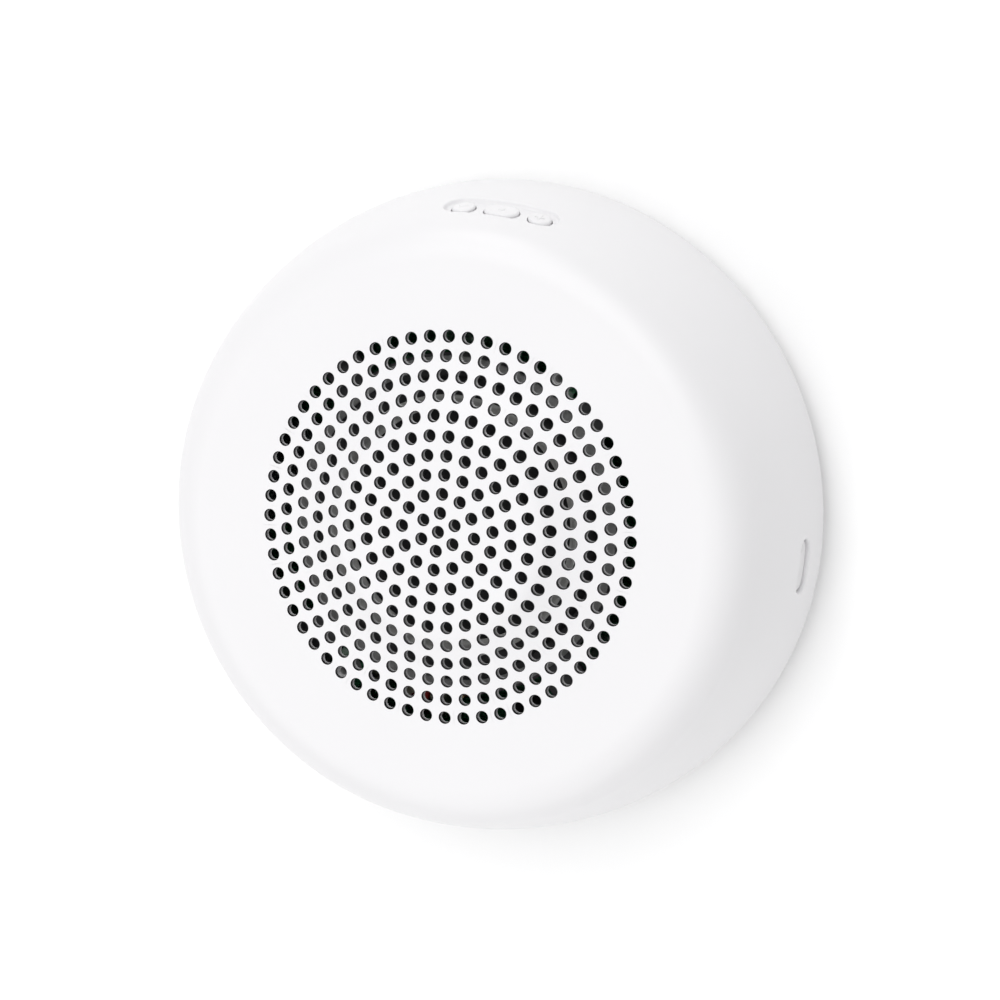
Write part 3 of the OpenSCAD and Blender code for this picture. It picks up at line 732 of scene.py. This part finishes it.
def key_mesh(kind):
    """A key: crowned cap with its raised mark, shaft, flange and the foot that meets the plunger."""
    x, length = KEY_SHAPES[kind]
    mesh = Builder()
    outline = pill_outline(length, KEY_W, x)
    rows = cap_rows(mesh, KEYS, outline, KEY_EDGE, KEY_SINK)
    mark = {
        "minus": pill_outline(MARK_SIZE, MARK_WIDTH, x),
        "action": pill_outline(DOT_SIZE, DOT_SIZE, x),
        "plus": plus_outline(x, MARK_SIZE, MARK_WIDTH),
    }[kind]
    raised = [(inset, KEY_SINK + depth) for inset, depth in MARK_PROFILE]
    mark_rows = edge_rows(mesh, KEYS, mark, raised)
    join(mesh, mark_rows)
    patch(mesh, KEYS, rows[0], [mark_rows[0]], KEY_SINK)
    patch(mesh, KEYS, mark_rows[-1], [], raised[-1][1])
    flange = [(0, FLANGE_TOP + BEVEL, 1, 0), (-BEVEL, FLANGE_TOP, 0, 1),
              (FLANGE_BEVEL - FLANGE_LIP, FLANGE_TOP, 0, 1),
              (-FLANGE_LIP, FLANGE_TOP - FLANGE_BEVEL, 1, 0),
              (-FLANGE_LIP, FLANGE_LOW + FLANGE_BEVEL, 1, 0),
              (FLANGE_BEVEL - FLANGE_LIP, FLANGE_LOW, 0, -1)]
    last = steps_down(mesh, KEYS, outline, flange, rows[-1])
    ring = []
    for px, py in outline(0)[0]:
        r = math.hypot(px - x, py)
        ring.append(((px - x) / r, py / r))
    foot = ((KEY_FOOT_R, FLANGE_LOW, 0, -1), (KEY_FOOT_R, FLANGE_LOW, 1, 0),
            (KEY_FOOT_R, KEY_FOOT + BEVEL, 1, 0), (KEY_FOOT_R - BEVEL, KEY_FOOT, 0, -1))
    for radius, z, out, up in foot:
        points = [(x + radius * u, radius * v) for u, v in ring]
        row = flat_row(mesh, KEYS, points, z, [(u * out, v * out, up) for u, v in ring])
        mesh.strip(row, last)
        last = row
    mesh.cap(last, -KEYS.z)
    return mesh


COVER_GAP = 0.15
COVER_SINK = 0.6
COVER_EDGE = [(0.2, 0.0), (0.11, 0.012), (0.05, 0.045), (0.015, 0.1), (0.0, 0.18)]
COVER_BEVEL = 0.15
GRIP_X = 2.6
GRIP_SIZE = 1.3
GRIP_PROFILE = [(-0.08, 0.0), (0.0, 0.03), (0.1, 0.09), (0.24, 0.13), (0.4, 0.15)]
STUB_L = 1.8
STUB_W = 3.4
STUB_T = 0.75
STUB_Z = 11.25 - PORT_Z
STUB_SUNK = 0.1


def cover_mesh():
    """The inlet's rubber cover: a rounded plug with a dimple to grip it by and a flat stub behind."""
    mesh = Builder()
    outline = pill_outline(PORT_W - 2 * COVER_GAP, PORT_H - 2 * COVER_GAP)
    rows = cap_rows(mesh, PORT, outline, COVER_EDGE, COVER_SINK)
    dimple = [(inset, COVER_SINK + depth) for inset, depth in GRIP_PROFILE]
    grip = edge_rows(mesh, PORT, pill_outline(GRIP_SIZE, GRIP_SIZE, GRIP_X), dimple)
    join(mesh, grip)
    patch(mesh, PORT, rows[0], [grip[0]], COVER_SINK)
    patch(mesh, PORT, grip[-1], [], dimple[-1][1])
    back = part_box("port_cover")[0].x / MM + STUB_L - PORT_R
    plug = [(0, back + COVER_BEVEL, 1, 0), (COVER_BEVEL, back, 0, -1)]
    last = steps_down(mesh, PORT, outline, plug, rows[-1])
    mesh.cap(last, -PORT.z)
    side, low, high = STUB_W / 2, STUB_Z, STUB_Z + STUB_T
    stub = sharp_outline([(-side, low), (side, low), (side, high), (-side, high)])
    points, inward = stub(0)
    start = flat_row(mesh, PORT, points, back + STUB_SUNK, [(-ix, -iy, 0) for ix, iy in inward])
    tip = [(0, back - STUB_L + COVER_BEVEL, 1, 0), (COVER_BEVEL, back - STUB_L, 0, -1)]
    last = steps_down(mesh, PORT, stub, tip, start)
    mesh.cap(last, -PORT.z)
    return mesh


# ---------- turned pieces ----------

SOFT_ANGLE = 40
ROUND_STEPS = 3


def turned(section, sides):
    """Turns a closed section of (r, z) points, listed counter-clockwise, round the axis."""
    mesh = Builder()
    n = len(section)
    faces = []
    for i in range(n):
        (r1, z1), (r2, z2) = section[i], section[(i + 1) % n]
        size = math.hypot(r2 - r1, z2 - z1)
        faces.append(Vector(((z2 - z1) / size, (r1 - r2) / size)))
    soft = math.cos(math.radians(SOFT_ANGLE))
    turns = [2 * math.pi * j / sides for j in range(sides)]
    rows = []
    for r, z in section:
        rows.append([mesh.vert((r * math.cos(a), r * math.sin(a), z), (0, 0, 1)) for a in turns])
    for i in range(n):
        here, before, after = faces[i], faces[i - 1], faces[(i + 1) % n]
        start = (here + before).normalized() if here.dot(before) > soft else here
        end = (here + after).normalized() if here.dot(after) > soft else here
        fans = []
        for flat in (start, end):
            fans.append([Vector((flat.x * math.cos(a), flat.x * math.sin(a), flat.y)) for a in turns])
        mesh.strip(rows[i], rows[(i + 1) % n], normals_a=fans[0], normals_b=fans[1])
    return mesh


def rounded(corners):
    """Rounds the corners of a closed section; each is (r, z, size of the rounding)."""
    made = []
    n = len(corners)
    for i, (r, z, size) in enumerate(corners):
        p = Vector((r, z))
        a = (Vector(corners[i - 1][:2]) - p).normalized()
        b = (Vector(corners[(i + 1) % n][:2]) - p).normalized()
        for s in range(ROUND_STEPS + 1):
            t = s / ROUND_STEPS
            made.append(tuple(p + a * size * (1 - t) ** 2 + b * size * t ** 2))
    return made


FOOT_SIDES = 240
FOOT_WIDTH = 9.6
FOOT_TOP_ROUND = 0.1
FOOT_ROUND = 0.5
GROOVES = 5
GROOVE_W = 0.7
GROOVE_D = 0.25
GROOVE_SLANT = 0.12
GROOVE_ROUND = 0.08
GROOVE_MARGIN = 1.1


def foot_section():
    """The rubber foot ring: rounded lower edges and shallow grooves in the face that it stands on."""
    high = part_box("foot_ring")[1]
    r_out, top = high.x / MM, high.z / MM
    r_in = r_out - FOOT_WIDTH
    corners = [(r_in, top, FOOT_TOP_ROUND), (r_in, 0, FOOT_ROUND)]
    pitch = (r_out - r_in - 2 * GROOVE_MARGIN) / GROOVES
    for i in range(GROOVES):
        r = r_in + GROOVE_MARGIN + pitch * (i + 0.5)
        left, right = r - GROOVE_W / 2, r + GROOVE_W / 2
        corners += [(left, 0, GROOVE_ROUND), (left + GROOVE_SLANT, GROOVE_D, GROOVE_ROUND),
                    (right - GROOVE_SLANT, GROOVE_D, GROOVE_ROUND), (right, 0, GROOVE_ROUND)]
    corners += [(r_out, 0, FOOT_ROUND), (r_out, top, FOOT_TOP_ROUND)]
    return rounded(corners)


def sheet_section(path, thickness):
    """A closed section of a thin sheet that follows a path of (r, z) points, outwards."""
    upper, lower = [], []
    for i, p in enumerate(path):
        a, b = path[max(i - 1, 0)], path[min(i + 1, len(path) - 1)]
        size = math.hypot(b[0] - a[0], b[1] - a[1])
        nx, nz = -(b[1] - a[1]) / size * thickness / 2, (b[0] - a[0]) / size * thickness / 2
        upper.append((p[0] + nx, p[1] + nz))
        lower.append((p[0] - nx, p[1] - nz))
    return lower + upper[::-1]


# Driver: its flange's top, the lip where the cone and the roll meet, and the roll's half circle
DRIVER_SIDES = 144
FLANGE_Z = 27.6
LIP_Z = FLANGE_Z - 1.4
CONE_R = 18.0
ROLL_IN = CONE_R + 0.4
ROLL_OUT = 22.0
ROLL_LIP_R = 22.8
ROLL_MID = (ROLL_IN + ROLL_OUT) / 2
ROLL_RADIUS = (ROLL_OUT - ROLL_IN) / 2 - 0.15
ROLL_STEPS = 16
ROLL_SHEET = 0.3
BEAD_ROUND = 0.06

# Spider: its two lands, and the waves between them
SPIDER_IN = 8.15
SPIDER_OUT = 17.2
SPIDER_IN_Z = FLANGE_Z - 7.95
SPIDER_OUT_Z = FLANGE_Z - 6.45
SPIDER_LAND = 0.8
SPIDER_SHEET = 0.28
WAVE_IN = 9.35
WAVE_OUT = 14.1
WAVE_HEIGHT = 0.3
WAVES = 3
WAVE_STEPS = 60

# Pairs of heights for the roll and the spider, on the case's side and on the cone's
ROLL_BLEND = (27.6, 26.4)
SPIDER_BLEND = (21.0, 19.8)


def surround_section():
    """The rubber roll: glued lip on the cone, a leg up, the half roll and the lip on the frame."""
    path = [(CONE_R - 0.6, LIP_Z + 0.15), (CONE_R - 0.1, LIP_Z + 0.15), (ROLL_IN - 0.05, LIP_Z + 0.17),
            (ROLL_IN + 0.1, LIP_Z + 0.28), (ROLL_IN + 0.15, LIP_Z + 0.5), (ROLL_IN + 0.15, LIP_Z + 0.95)]
    path += [roll_point(ROLL_RADIUS, 180 * i / ROLL_STEPS) for i in range(ROLL_STEPS)]
    path += [(ROLL_OUT - 0.12, FLANGE_Z + 0.2), (ROLL_OUT + 0.05, FLANGE_Z + 0.15),
             (ROLL_LIP_R, FLANGE_Z + 0.15)]
    return sheet_section(path, ROLL_SHEET)


def roll_point(radius, degrees):
    """A point on a half circle over the roll, from its inner foot (0) to its outer one (180)."""
    a = math.radians(degrees)
    return ROLL_MID - radius * math.cos(a), FLANGE_Z + radius * math.sin(a)


def pale_bead_section():
    """The pale bead on the roll's inner lip, drawn up the foot of the roll."""
    bead = [(17.3, LIP_Z + 0.1), (18.1, LIP_Z + 0.25), (18.46, LIP_Z + 0.5), (18.5, LIP_Z + 1.2)]
    bead += [roll_point(ROLL_RADIUS, turn) for turn in (12, 30, 48, 62)]
    bead += [roll_point(ROLL_RADIUS + proud, turn) for turn, proud in ((60, 0.2), (45, 0.27), (22, 0.34))]
    bead += [(18.14, LIP_Z + 1.5), (18.0, LIP_Z + 1.0), (17.7, LIP_Z + 0.62), (17.3, LIP_Z + 0.36)]
    return rounded([(r, z, BEAD_ROUND) for r, z in bead])


def spider_section():
    """The waved cloth disc that centres the coil."""
    path = [(SPIDER_IN, SPIDER_IN_Z), (SPIDER_IN + SPIDER_LAND, SPIDER_IN_Z)]
    for i in range(WAVE_STEPS + 1):
        t = i / WAVE_STEPS
        r = WAVE_IN + (WAVE_OUT - WAVE_IN) * t
        swing = WAVE_HEIGHT * math.sin(2 * math.pi * WAVES * t)
        path.append((r, SPIDER_IN_Z + (SPIDER_OUT_Z - SPIDER_IN_Z) * t + swing))
    path += [(WAVE_OUT + SPIDER_LAND, SPIDER_OUT_Z), (SPIDER_OUT, SPIDER_OUT_Z)]
    return sheet_section(path, SPIDER_SHEET)


# ---------- materials ----------

def find(mat, kind):
    """The first node of a kind in a material."""
    return next(n for n in mat.node_tree.nodes if n.type == kind)


def node_tree(name):
    """A new material, its links, its nodes, its shader and the object's coordinates."""
    mat = bpy.data.materials.new(name)
    mat.use_nodes = True
    nodes = mat.node_tree.nodes
    coords = nodes.new("ShaderNodeTexCoord")
    return mat, mat.node_tree.links, nodes, find(mat, "BSDF_PRINCIPLED"), coords.outputs["Object"]


def noise(nodes, links, coords, size, detail=3.0):
    """Noise whose features are about size millimetres across."""
    n = nodes.new("ShaderNodeTexNoise")
    n.inputs["Scale"].default_value = 1 / (size * MM)
    n.inputs["Detail"].default_value = detail
    links.new(coords, n.inputs["Vector"])
    return n.outputs["Fac"]


def spread(nodes, links, value, low, high):
    """Maps a noise value, which mostly lies between 0.3 and 0.7, onto a range."""
    n = nodes.new("ShaderNodeMapRange")
    for socket, number in (("From Min", 0.3), ("From Max", 0.7), ("To Min", low), ("To Max", high)):
        n.inputs[socket].default_value = number
    links.new(value, n.inputs["Value"])
    return n.outputs["Result"]


def surface(name, colour, rough, patch_size, tint, grain, bump, rough_spread=0.06, metallic=0.0, **sockets):
    """A material with patchy tint, uneven gloss and a fine bumpy grain; sizes are millimetres."""
    mat, links, nodes, shader, coords = node_tree(name)
    patches = spread(nodes, links, noise(nodes, links, coords, patch_size), 0, 1)
    tint_by(mat, patches, [c * (1 - tint) for c in colour], [min(1, c * (1 + tint)) for c in colour])
    fine = noise(nodes, links, coords, grain, 4.0)
    gloss = spread(nodes, links, fine, rough - rough_spread, rough + rough_spread)
    links.new(gloss, shader.inputs["Roughness"])
    height = nodes.new("ShaderNodeBump")
    height.inputs["Distance"].default_value = bump * MM
    links.new(fine, height.inputs["Height"])
    links.new(height.outputs["Normal"], shader.inputs["Normal"])
    shader.inputs["Metallic"].default_value = metallic
    for socket, value in sockets.items():
        shader.inputs[socket.replace("_", " ")].default_value = value
    return mat


def relief(mat, height, depth):
    """Replaces what drives a material's bump; depth is in millimetres."""
    bump = find(mat, "BUMP")
    mat.node_tree.links.new(height, bump.inputs["Height"])
    bump.inputs["Distance"].default_value = depth * MM


def object_coords(mat):
    """The object's coordinates in a material made by node_tree."""
    return find(mat, "TEX_COORD").outputs["Object"]


def wave(mat, size, direction):
    """Bands across a direction, repeating every size millimetres."""
    n = mat.node_tree.nodes.new("ShaderNodeTexWave")
    n.wave_type = "BANDS"
    n.bands_direction = direction
    n.inputs["Scale"].default_value = math.pi / 10 / (size * MM)
    mat.node_tree.links.new(object_coords(mat), n.inputs["Vector"])
    return n.outputs["Fac"]


def combine(mat, a, b, how="MULTIPLY"):
    """Two patterns put together by a sum or a product."""
    n = mat.node_tree.nodes.new("ShaderNodeMath")
    n.operation = how
    mat.node_tree.links.new(a, n.inputs[0])
    mat.node_tree.links.new(b, n.inputs[1])
    return n.outputs[0]


def stretched(mat, size, stretch):
    """Noise drawn out along the axes whose stretch is above 1."""
    nodes, links = mat.node_tree.nodes, mat.node_tree.links
    mapping = nodes.new("ShaderNodeMapping")
    mapping.inputs["Scale"].default_value = [1 / k for k in stretch]
    links.new(object_coords(mat), mapping.inputs["Vector"])
    return noise(nodes, links, mapping.outputs["Vector"], size)


def tint_by(mat, fac, low, high):
    """Colours the surface between two colours by a pattern."""
    links = mat.node_tree.links
    mix = mat.node_tree.nodes.new("ShaderNodeMix")
    mix.data_type = "RGBA"
    mix.inputs["A"].default_value = (*low, 1)
    mix.inputs["B"].default_value = (*high, 1)
    links.new(fac, mix.inputs["Factor"])
    links.new(mix.outputs["Result"], find(mat, "BSDF_PRINCIPLED").inputs["Base Color"])


def brushed_metal(name, colour, rough):
    """Metal with fine scratches drawn out along x."""
    mat = surface(name, colour, rough, patch_size=4, tint=0.05, grain=0.15, bump=0.004, metallic=1.0)
    relief(mat, stretched(mat, 0.12, (14, 1, 1)), 0.006)
    return mat


def pressed_paper(name, colour):
    """Matt pulp with fibres that lie both ways."""
    mat = surface(name, colour, 0.82, patch_size=2.5, tint=0.22, grain=0.18, bump=0.05)
    relief(mat, combine(mat, stretched(mat, 0.22, (5, 1, 2)), stretched(mat, 0.22, (1, 5, 2)), "ADD"), 0.05)
    return mat


def woven_cloth(name, low, high):
    """A resin-stiffened weave, low between the threads and high on them."""
    mat = surface(name, high, 0.85, patch_size=3, tint=0.1, grain=0.2, bump=0.05, Sheen_Weight=0.2)
    threads = combine(mat, wave(mat, 0.45, "X"), wave(mat, 0.45, "Y"))
    tint_by(mat, threads, low, high)
    relief(mat, threads, 0.07)
    return mat


def wound_wire(name, low, high):
    """Turns of lacquered wire wound round the axis."""
    mat = surface(name, high, 0.3, patch_size=2, tint=0.08, grain=0.3, bump=0.01, metallic=1.0)
    turns = wave(mat, 0.16, "Z")
    tint_by(mat, turns, low, high)
    relief(mat, turns, 0.06)
    return mat


def circuit_board(name):
    """Green lacquer over a faint pattern of tracks."""
    mat = surface(name, (0.02, 0.14, 0.06), 0.28, patch_size=5, tint=0.1, grain=0.5, bump=0.01,
                  Coat_Weight=0.3)
    nodes, links = mat.node_tree.nodes, mat.node_tree.links
    tracks = nodes.new("ShaderNodeTexBrick")
    tracks.inputs["Scale"].default_value = 1 / (2.4 * MM)
    tracks.inputs["Mortar Size"].default_value = 0.035
    tracks.inputs["Color1"].default_value = (0.016, 0.125, 0.055, 1)
    tracks.inputs["Color2"].default_value = (0.02, 0.15, 0.065, 1)
    tracks.inputs["Mortar"].default_value = (0.04, 0.24, 0.1, 1)
    links.new(object_coords(mat), tracks.inputs["Vector"])
    links.new(tracks.outputs["Color"], find(mat, "BSDF_PRINCIPLED").inputs["Base Color"])
    relief(mat, tracks.outputs["Fac"], 0.03)
    return mat


def flat_cable(name):
    """A ribbon whose wires lie side by side across x."""
    mat = surface(name, (0.72, 0.72, 0.7), 0.4, patch_size=5, tint=0.03, grain=0.3, bump=0.01)
    wires = wave(mat, 0.5, "X")
    tint_by(mat, wires, (0.55, 0.55, 0.54), (0.78, 0.78, 0.76))
    relief(mat, wires, 0.04)
    return mat


def silicone(name, colour, rough, grain=0.18):
    """Soft rubber."""
    return surface(name, colour, rough, patch_size=6, tint=0.02, rough_spread=0.07, grain=grain, bump=0.012)


def moulded(name, colour, rough, grain=0.25, bump=0.012):
    """Injection-moulded plastic."""
    return surface(name, colour, rough, patch_size=7, tint=0.04, grain=grain, bump=bump)


BODY_WHITE = (0.77, 0.764, 0.776)


def make_materials():
    """One material for each of the record's slots, and one for the pale bead on the roll."""
    return {
        "shell_white": surface("shell_white", BODY_WHITE, 0.36, patch_size=22, tint=0.006, rough_spread=0.04,
                               grain=0.3, bump=0.0035),
        "key_white": surface("key_white", BODY_WHITE, 0.33, patch_size=5, tint=0.006, rough_spread=0.04,
                             grain=0.22, bump=0.003),
        "cover_rubber": silicone("cover_rubber", (0.76, 0.755, 0.765), 0.5),
        "base_white": surface("base_white", (0.74, 0.735, 0.745), 0.52, patch_size=14, tint=0.012,
                              rough_spread=0.07, grain=0.35, bump=0.03),
        "foot_rubber": silicone("foot_rubber", (0.34, 0.34, 0.35), 0.7, 0.25),
        "screw_steel": brushed_metal("screw_steel", (0.56, 0.55, 0.52), 0.32),
        "basket_black": moulded("basket_black", (0.06, 0.06, 0.065), 0.42, 0.3, 0.02),
        "gasket_foam": surface("gasket_foam", (0.42, 0.42, 0.42), 0.92, patch_size=2, tint=0.2, grain=0.35,
                               bump=0.12),
        # Pale colour of the bead on the roll's inner lip, lighter than the black roll
        "pale_bead_white": silicone("pale_bead_white", (0.82, 0.82, 0.8), 0.4),
        "plated_steel": brushed_metal("plated_steel", (0.55, 0.55, 0.52), 0.36),
        "ferrite": surface("ferrite", (0.035, 0.035, 0.04), 0.6, patch_size=3, tint=0.25, grain=0.4,
                           bump=0.05),
        "former_film": surface("former_film", (0.5, 0.25, 0.06), 0.3, patch_size=3, tint=0.08, grain=0.3,
                               bump=0.005),
        "copper_wire": wound_wire("copper_wire", (0.22, 0.07, 0.03), (0.62, 0.26, 0.12)),
        "cone_paper": pressed_paper("cone_paper", (0.03, 0.03, 0.032)),
        "cone_cap": pressed_paper("cone_cap", (0.032, 0.032, 0.034)),
        "surround_rubber": silicone("surround_rubber", (0.035, 0.035, 0.037), 0.5),
        "spider_cloth": woven_cloth("spider_cloth", (0.28, 0.15, 0.03), (0.62, 0.4, 0.12)),
        "tag_board": surface("tag_board", (0.16, 0.07, 0.03), 0.5, patch_size=2, tint=0.2, grain=0.3,
                             bump=0.02),
        "tag_brass": brushed_metal("tag_brass", (0.75, 0.6, 0.35), 0.3),
        "lead_red": moulded("lead_red", (0.42, 0.02, 0.015), 0.4, 0.4),
        "lead_black": moulded("lead_black", (0.015, 0.015, 0.016), 0.4, 0.4),
        "connector_plastic": moulded("connector_plastic", (0.72, 0.67, 0.55), 0.42),
        "circuit_board": circuit_board("circuit_board"),
        "can_metal": brushed_metal("can_metal", (0.66, 0.67, 0.68), 0.28),
        "capacitor_can": brushed_metal("capacitor_can", (0.72, 0.73, 0.75), 0.3),
        "inductor_core": surface("inductor_core", (0.05, 0.05, 0.055), 0.55, patch_size=1.5, tint=0.2,
                                 grain=0.3, bump=0.04),
        "chip_epoxy": moulded("chip_epoxy", (0.015, 0.015, 0.018), 0.55, 0.15, 0.01),
        "flat_cable": flat_cable("flat_cable"),
        "mic_can_metal": brushed_metal("mic_can_metal", (0.75, 0.6, 0.34), 0.28),
    }


# ---------- camera, light and floor ----------

# Where the camera is, in millimetres from the middle of the face's top, and how it is turned
CAMERA_FROM_FACE = Vector((170.97, 103.58, 460.31))
CAMERA_BACK = Vector((0.32579, 0.19545, 0.92501))
CAMERA_UP = Vector((-0.17139, 0.97439, -0.14552))
CAMERA_LENS = 125.64
CAMERA_SENSOR = 36
CAMERA_CLIP = 0.01

FLOOR_REACH = 3.0
WORLD_LIGHT = 0.64
SOFTBOX_DISTANCE = 1.2
SOFTBOX_AIM = Vector((0, 0, 0.02))
# Name, azimuth and elevation in degrees, width in metres, power in watts
SOFTBOXES = (
    ("back_light", 100, 62, 1.0, 4.9),
    ("rim_light", 108, 27, 0.5, 1.9),
    ("left_light", 225, 52, 1.0, 2.3),
    ("front_light", 270, 30, 1.0, 2.65),
    ("right_light", 0, 74, 1.0, 0.95),
)


def camera():
    """The camera at the photograph's viewing angle."""
    data = bpy.data.cameras.new("camera")
    data.lens = CAMERA_LENS
    data.sensor_width = CAMERA_SENSOR
    data.clip_start = CAMERA_CLIP
    cam = bpy.data.objects.new("camera", data)
    back = CAMERA_BACK.normalized()
    right = CAMERA_UP.cross(back).normalized()
    up = back.cross(right)
    place = (CAMERA_FROM_FACE + Vector((0, 0, BODY_TOP))) * MM
    turn = cam.matrix_world.copy()
    for row in range(3):
        turn[row] = (right[row], up[row], back[row], place[row])
    cam.matrix_world = turn
    bpy.context.scene.collection.objects.link(cam)
    bpy.context.scene.camera = cam


def area_light(name, place, size, power):
    """A round soft light at a place in metres, aimed at the object."""
    data = bpy.data.lights.new(name, "AREA")
    data.shape = "DISK"
    data.size = size
    data.energy = power
    light = bpy.data.objects.new(name, data)
    light.location = place
    light.rotation_euler = (SOFTBOX_AIM - Vector(place)).to_track_quat("-Z", "Y").to_euler()
    bpy.context.scene.collection.objects.link(light)


def floor():
    """The plain pale floor."""
    mesh = bpy.data.meshes.new("floor")
    corners = [(x * FLOOR_REACH, y * FLOOR_REACH, 0) for x, y in ((-1, -1), (1, -1), (1, 1), (-1, 1))]
    mesh.from_pydata(corners, [], [(0, 1, 2, 3)])
    mat = surface("floor_white", (0.96, 0.96, 0.96), 0.7, patch_size=60, tint=0.004, grain=1.5, bump=0.01)
    mesh.materials.append(mat)
    plane = bpy.data.objects.new("floor", mesh)
    bpy.context.scene.collection.objects.link(plane)


def lighting():
    """An even white world and the soft lights."""
    world = bpy.data.worlds.new("studio")
    world.use_nodes = True
    background = world.node_tree.nodes["Background"]
    background.inputs["Color"].default_value = (1.0, 1.0, 1.0, 1)
    background.inputs["Strength"].default_value = WORLD_LIGHT
    bpy.context.scene.world = world
    for name, azimuth, elevation, size, power in SOFTBOXES:
        a, e = math.radians(azimuth), math.radians(elevation)
        place = (math.cos(e) * math.cos(a), math.cos(e) * math.sin(a), math.sin(e))
        area_light(name, [SOFTBOX_DISTANCE * c for c in place], size, power)


# ---------- pieces ----------

def carry_over(materials, replaced):
    """Gives every CAD node that still shows the material of its slot."""
    slots = {part["node"]: part["material_slot"] for part in frame["record"]["subparts"]}
    for name, node in frame["nodes"].items():
        if name in replaced:
            continue
        mesh = node.data
        if not mesh.materials:
            mesh.materials.append(None)
        for i in range(len(mesh.materials)):
            mesh.materials[i] = materials[slots[name]]


def main():
    """Makes the stage and every piece, and gives the CAD nodes that still show their materials."""
    bpy.context.scene.view_settings.view_transform = "Standard"
    camera()
    floor()
    lighting()
    materials = make_materials()
    pieces = [("shell", shell_mesh(), "shell_white", "case", "top_shell")]
    for kind in KEY_SHAPES:
        pieces.append(("key_cap_" + kind, key_mesh(kind), "key_white", f"key_{kind}_body", "key_" + kind))
    pieces.append(("inlet_cover", cover_mesh(), "cover_rubber", "port_cover_body", "port_cover"))
    pieces.append(("foot", turned(foot_section(), FOOT_SIDES), "foot_rubber", "case", "foot_ring"))
    for name, mesh, slot, body, node in pieces:
        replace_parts(mesh.build(name, materials[slot], body, slot), node)
    bending = (
        ("surround_roll", surround_section(), "surround_rubber", "surround_rubber", "surround", ROLL_BLEND),
        ("spider_disc", spider_section(), "spider_cloth", "spider_cloth", "spider", SPIDER_BLEND),
        # The pale bead on the roll's inner lip, lighter than the black roll
        ("pale_bead", pale_bead_section(), "pale_bead_white", "gasket_foam", None, ROLL_BLEND),
    )
    for name, section, look, slot, node, (start, end) in bending:
        piece = turned(section, DRIVER_SIDES).build(name, materials[look], None, slot)
        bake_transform(piece)
        if node:
            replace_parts(piece, node)
    carry_over(materials, [p[4] for p in pieces] + ["surround", "spider"])


main()
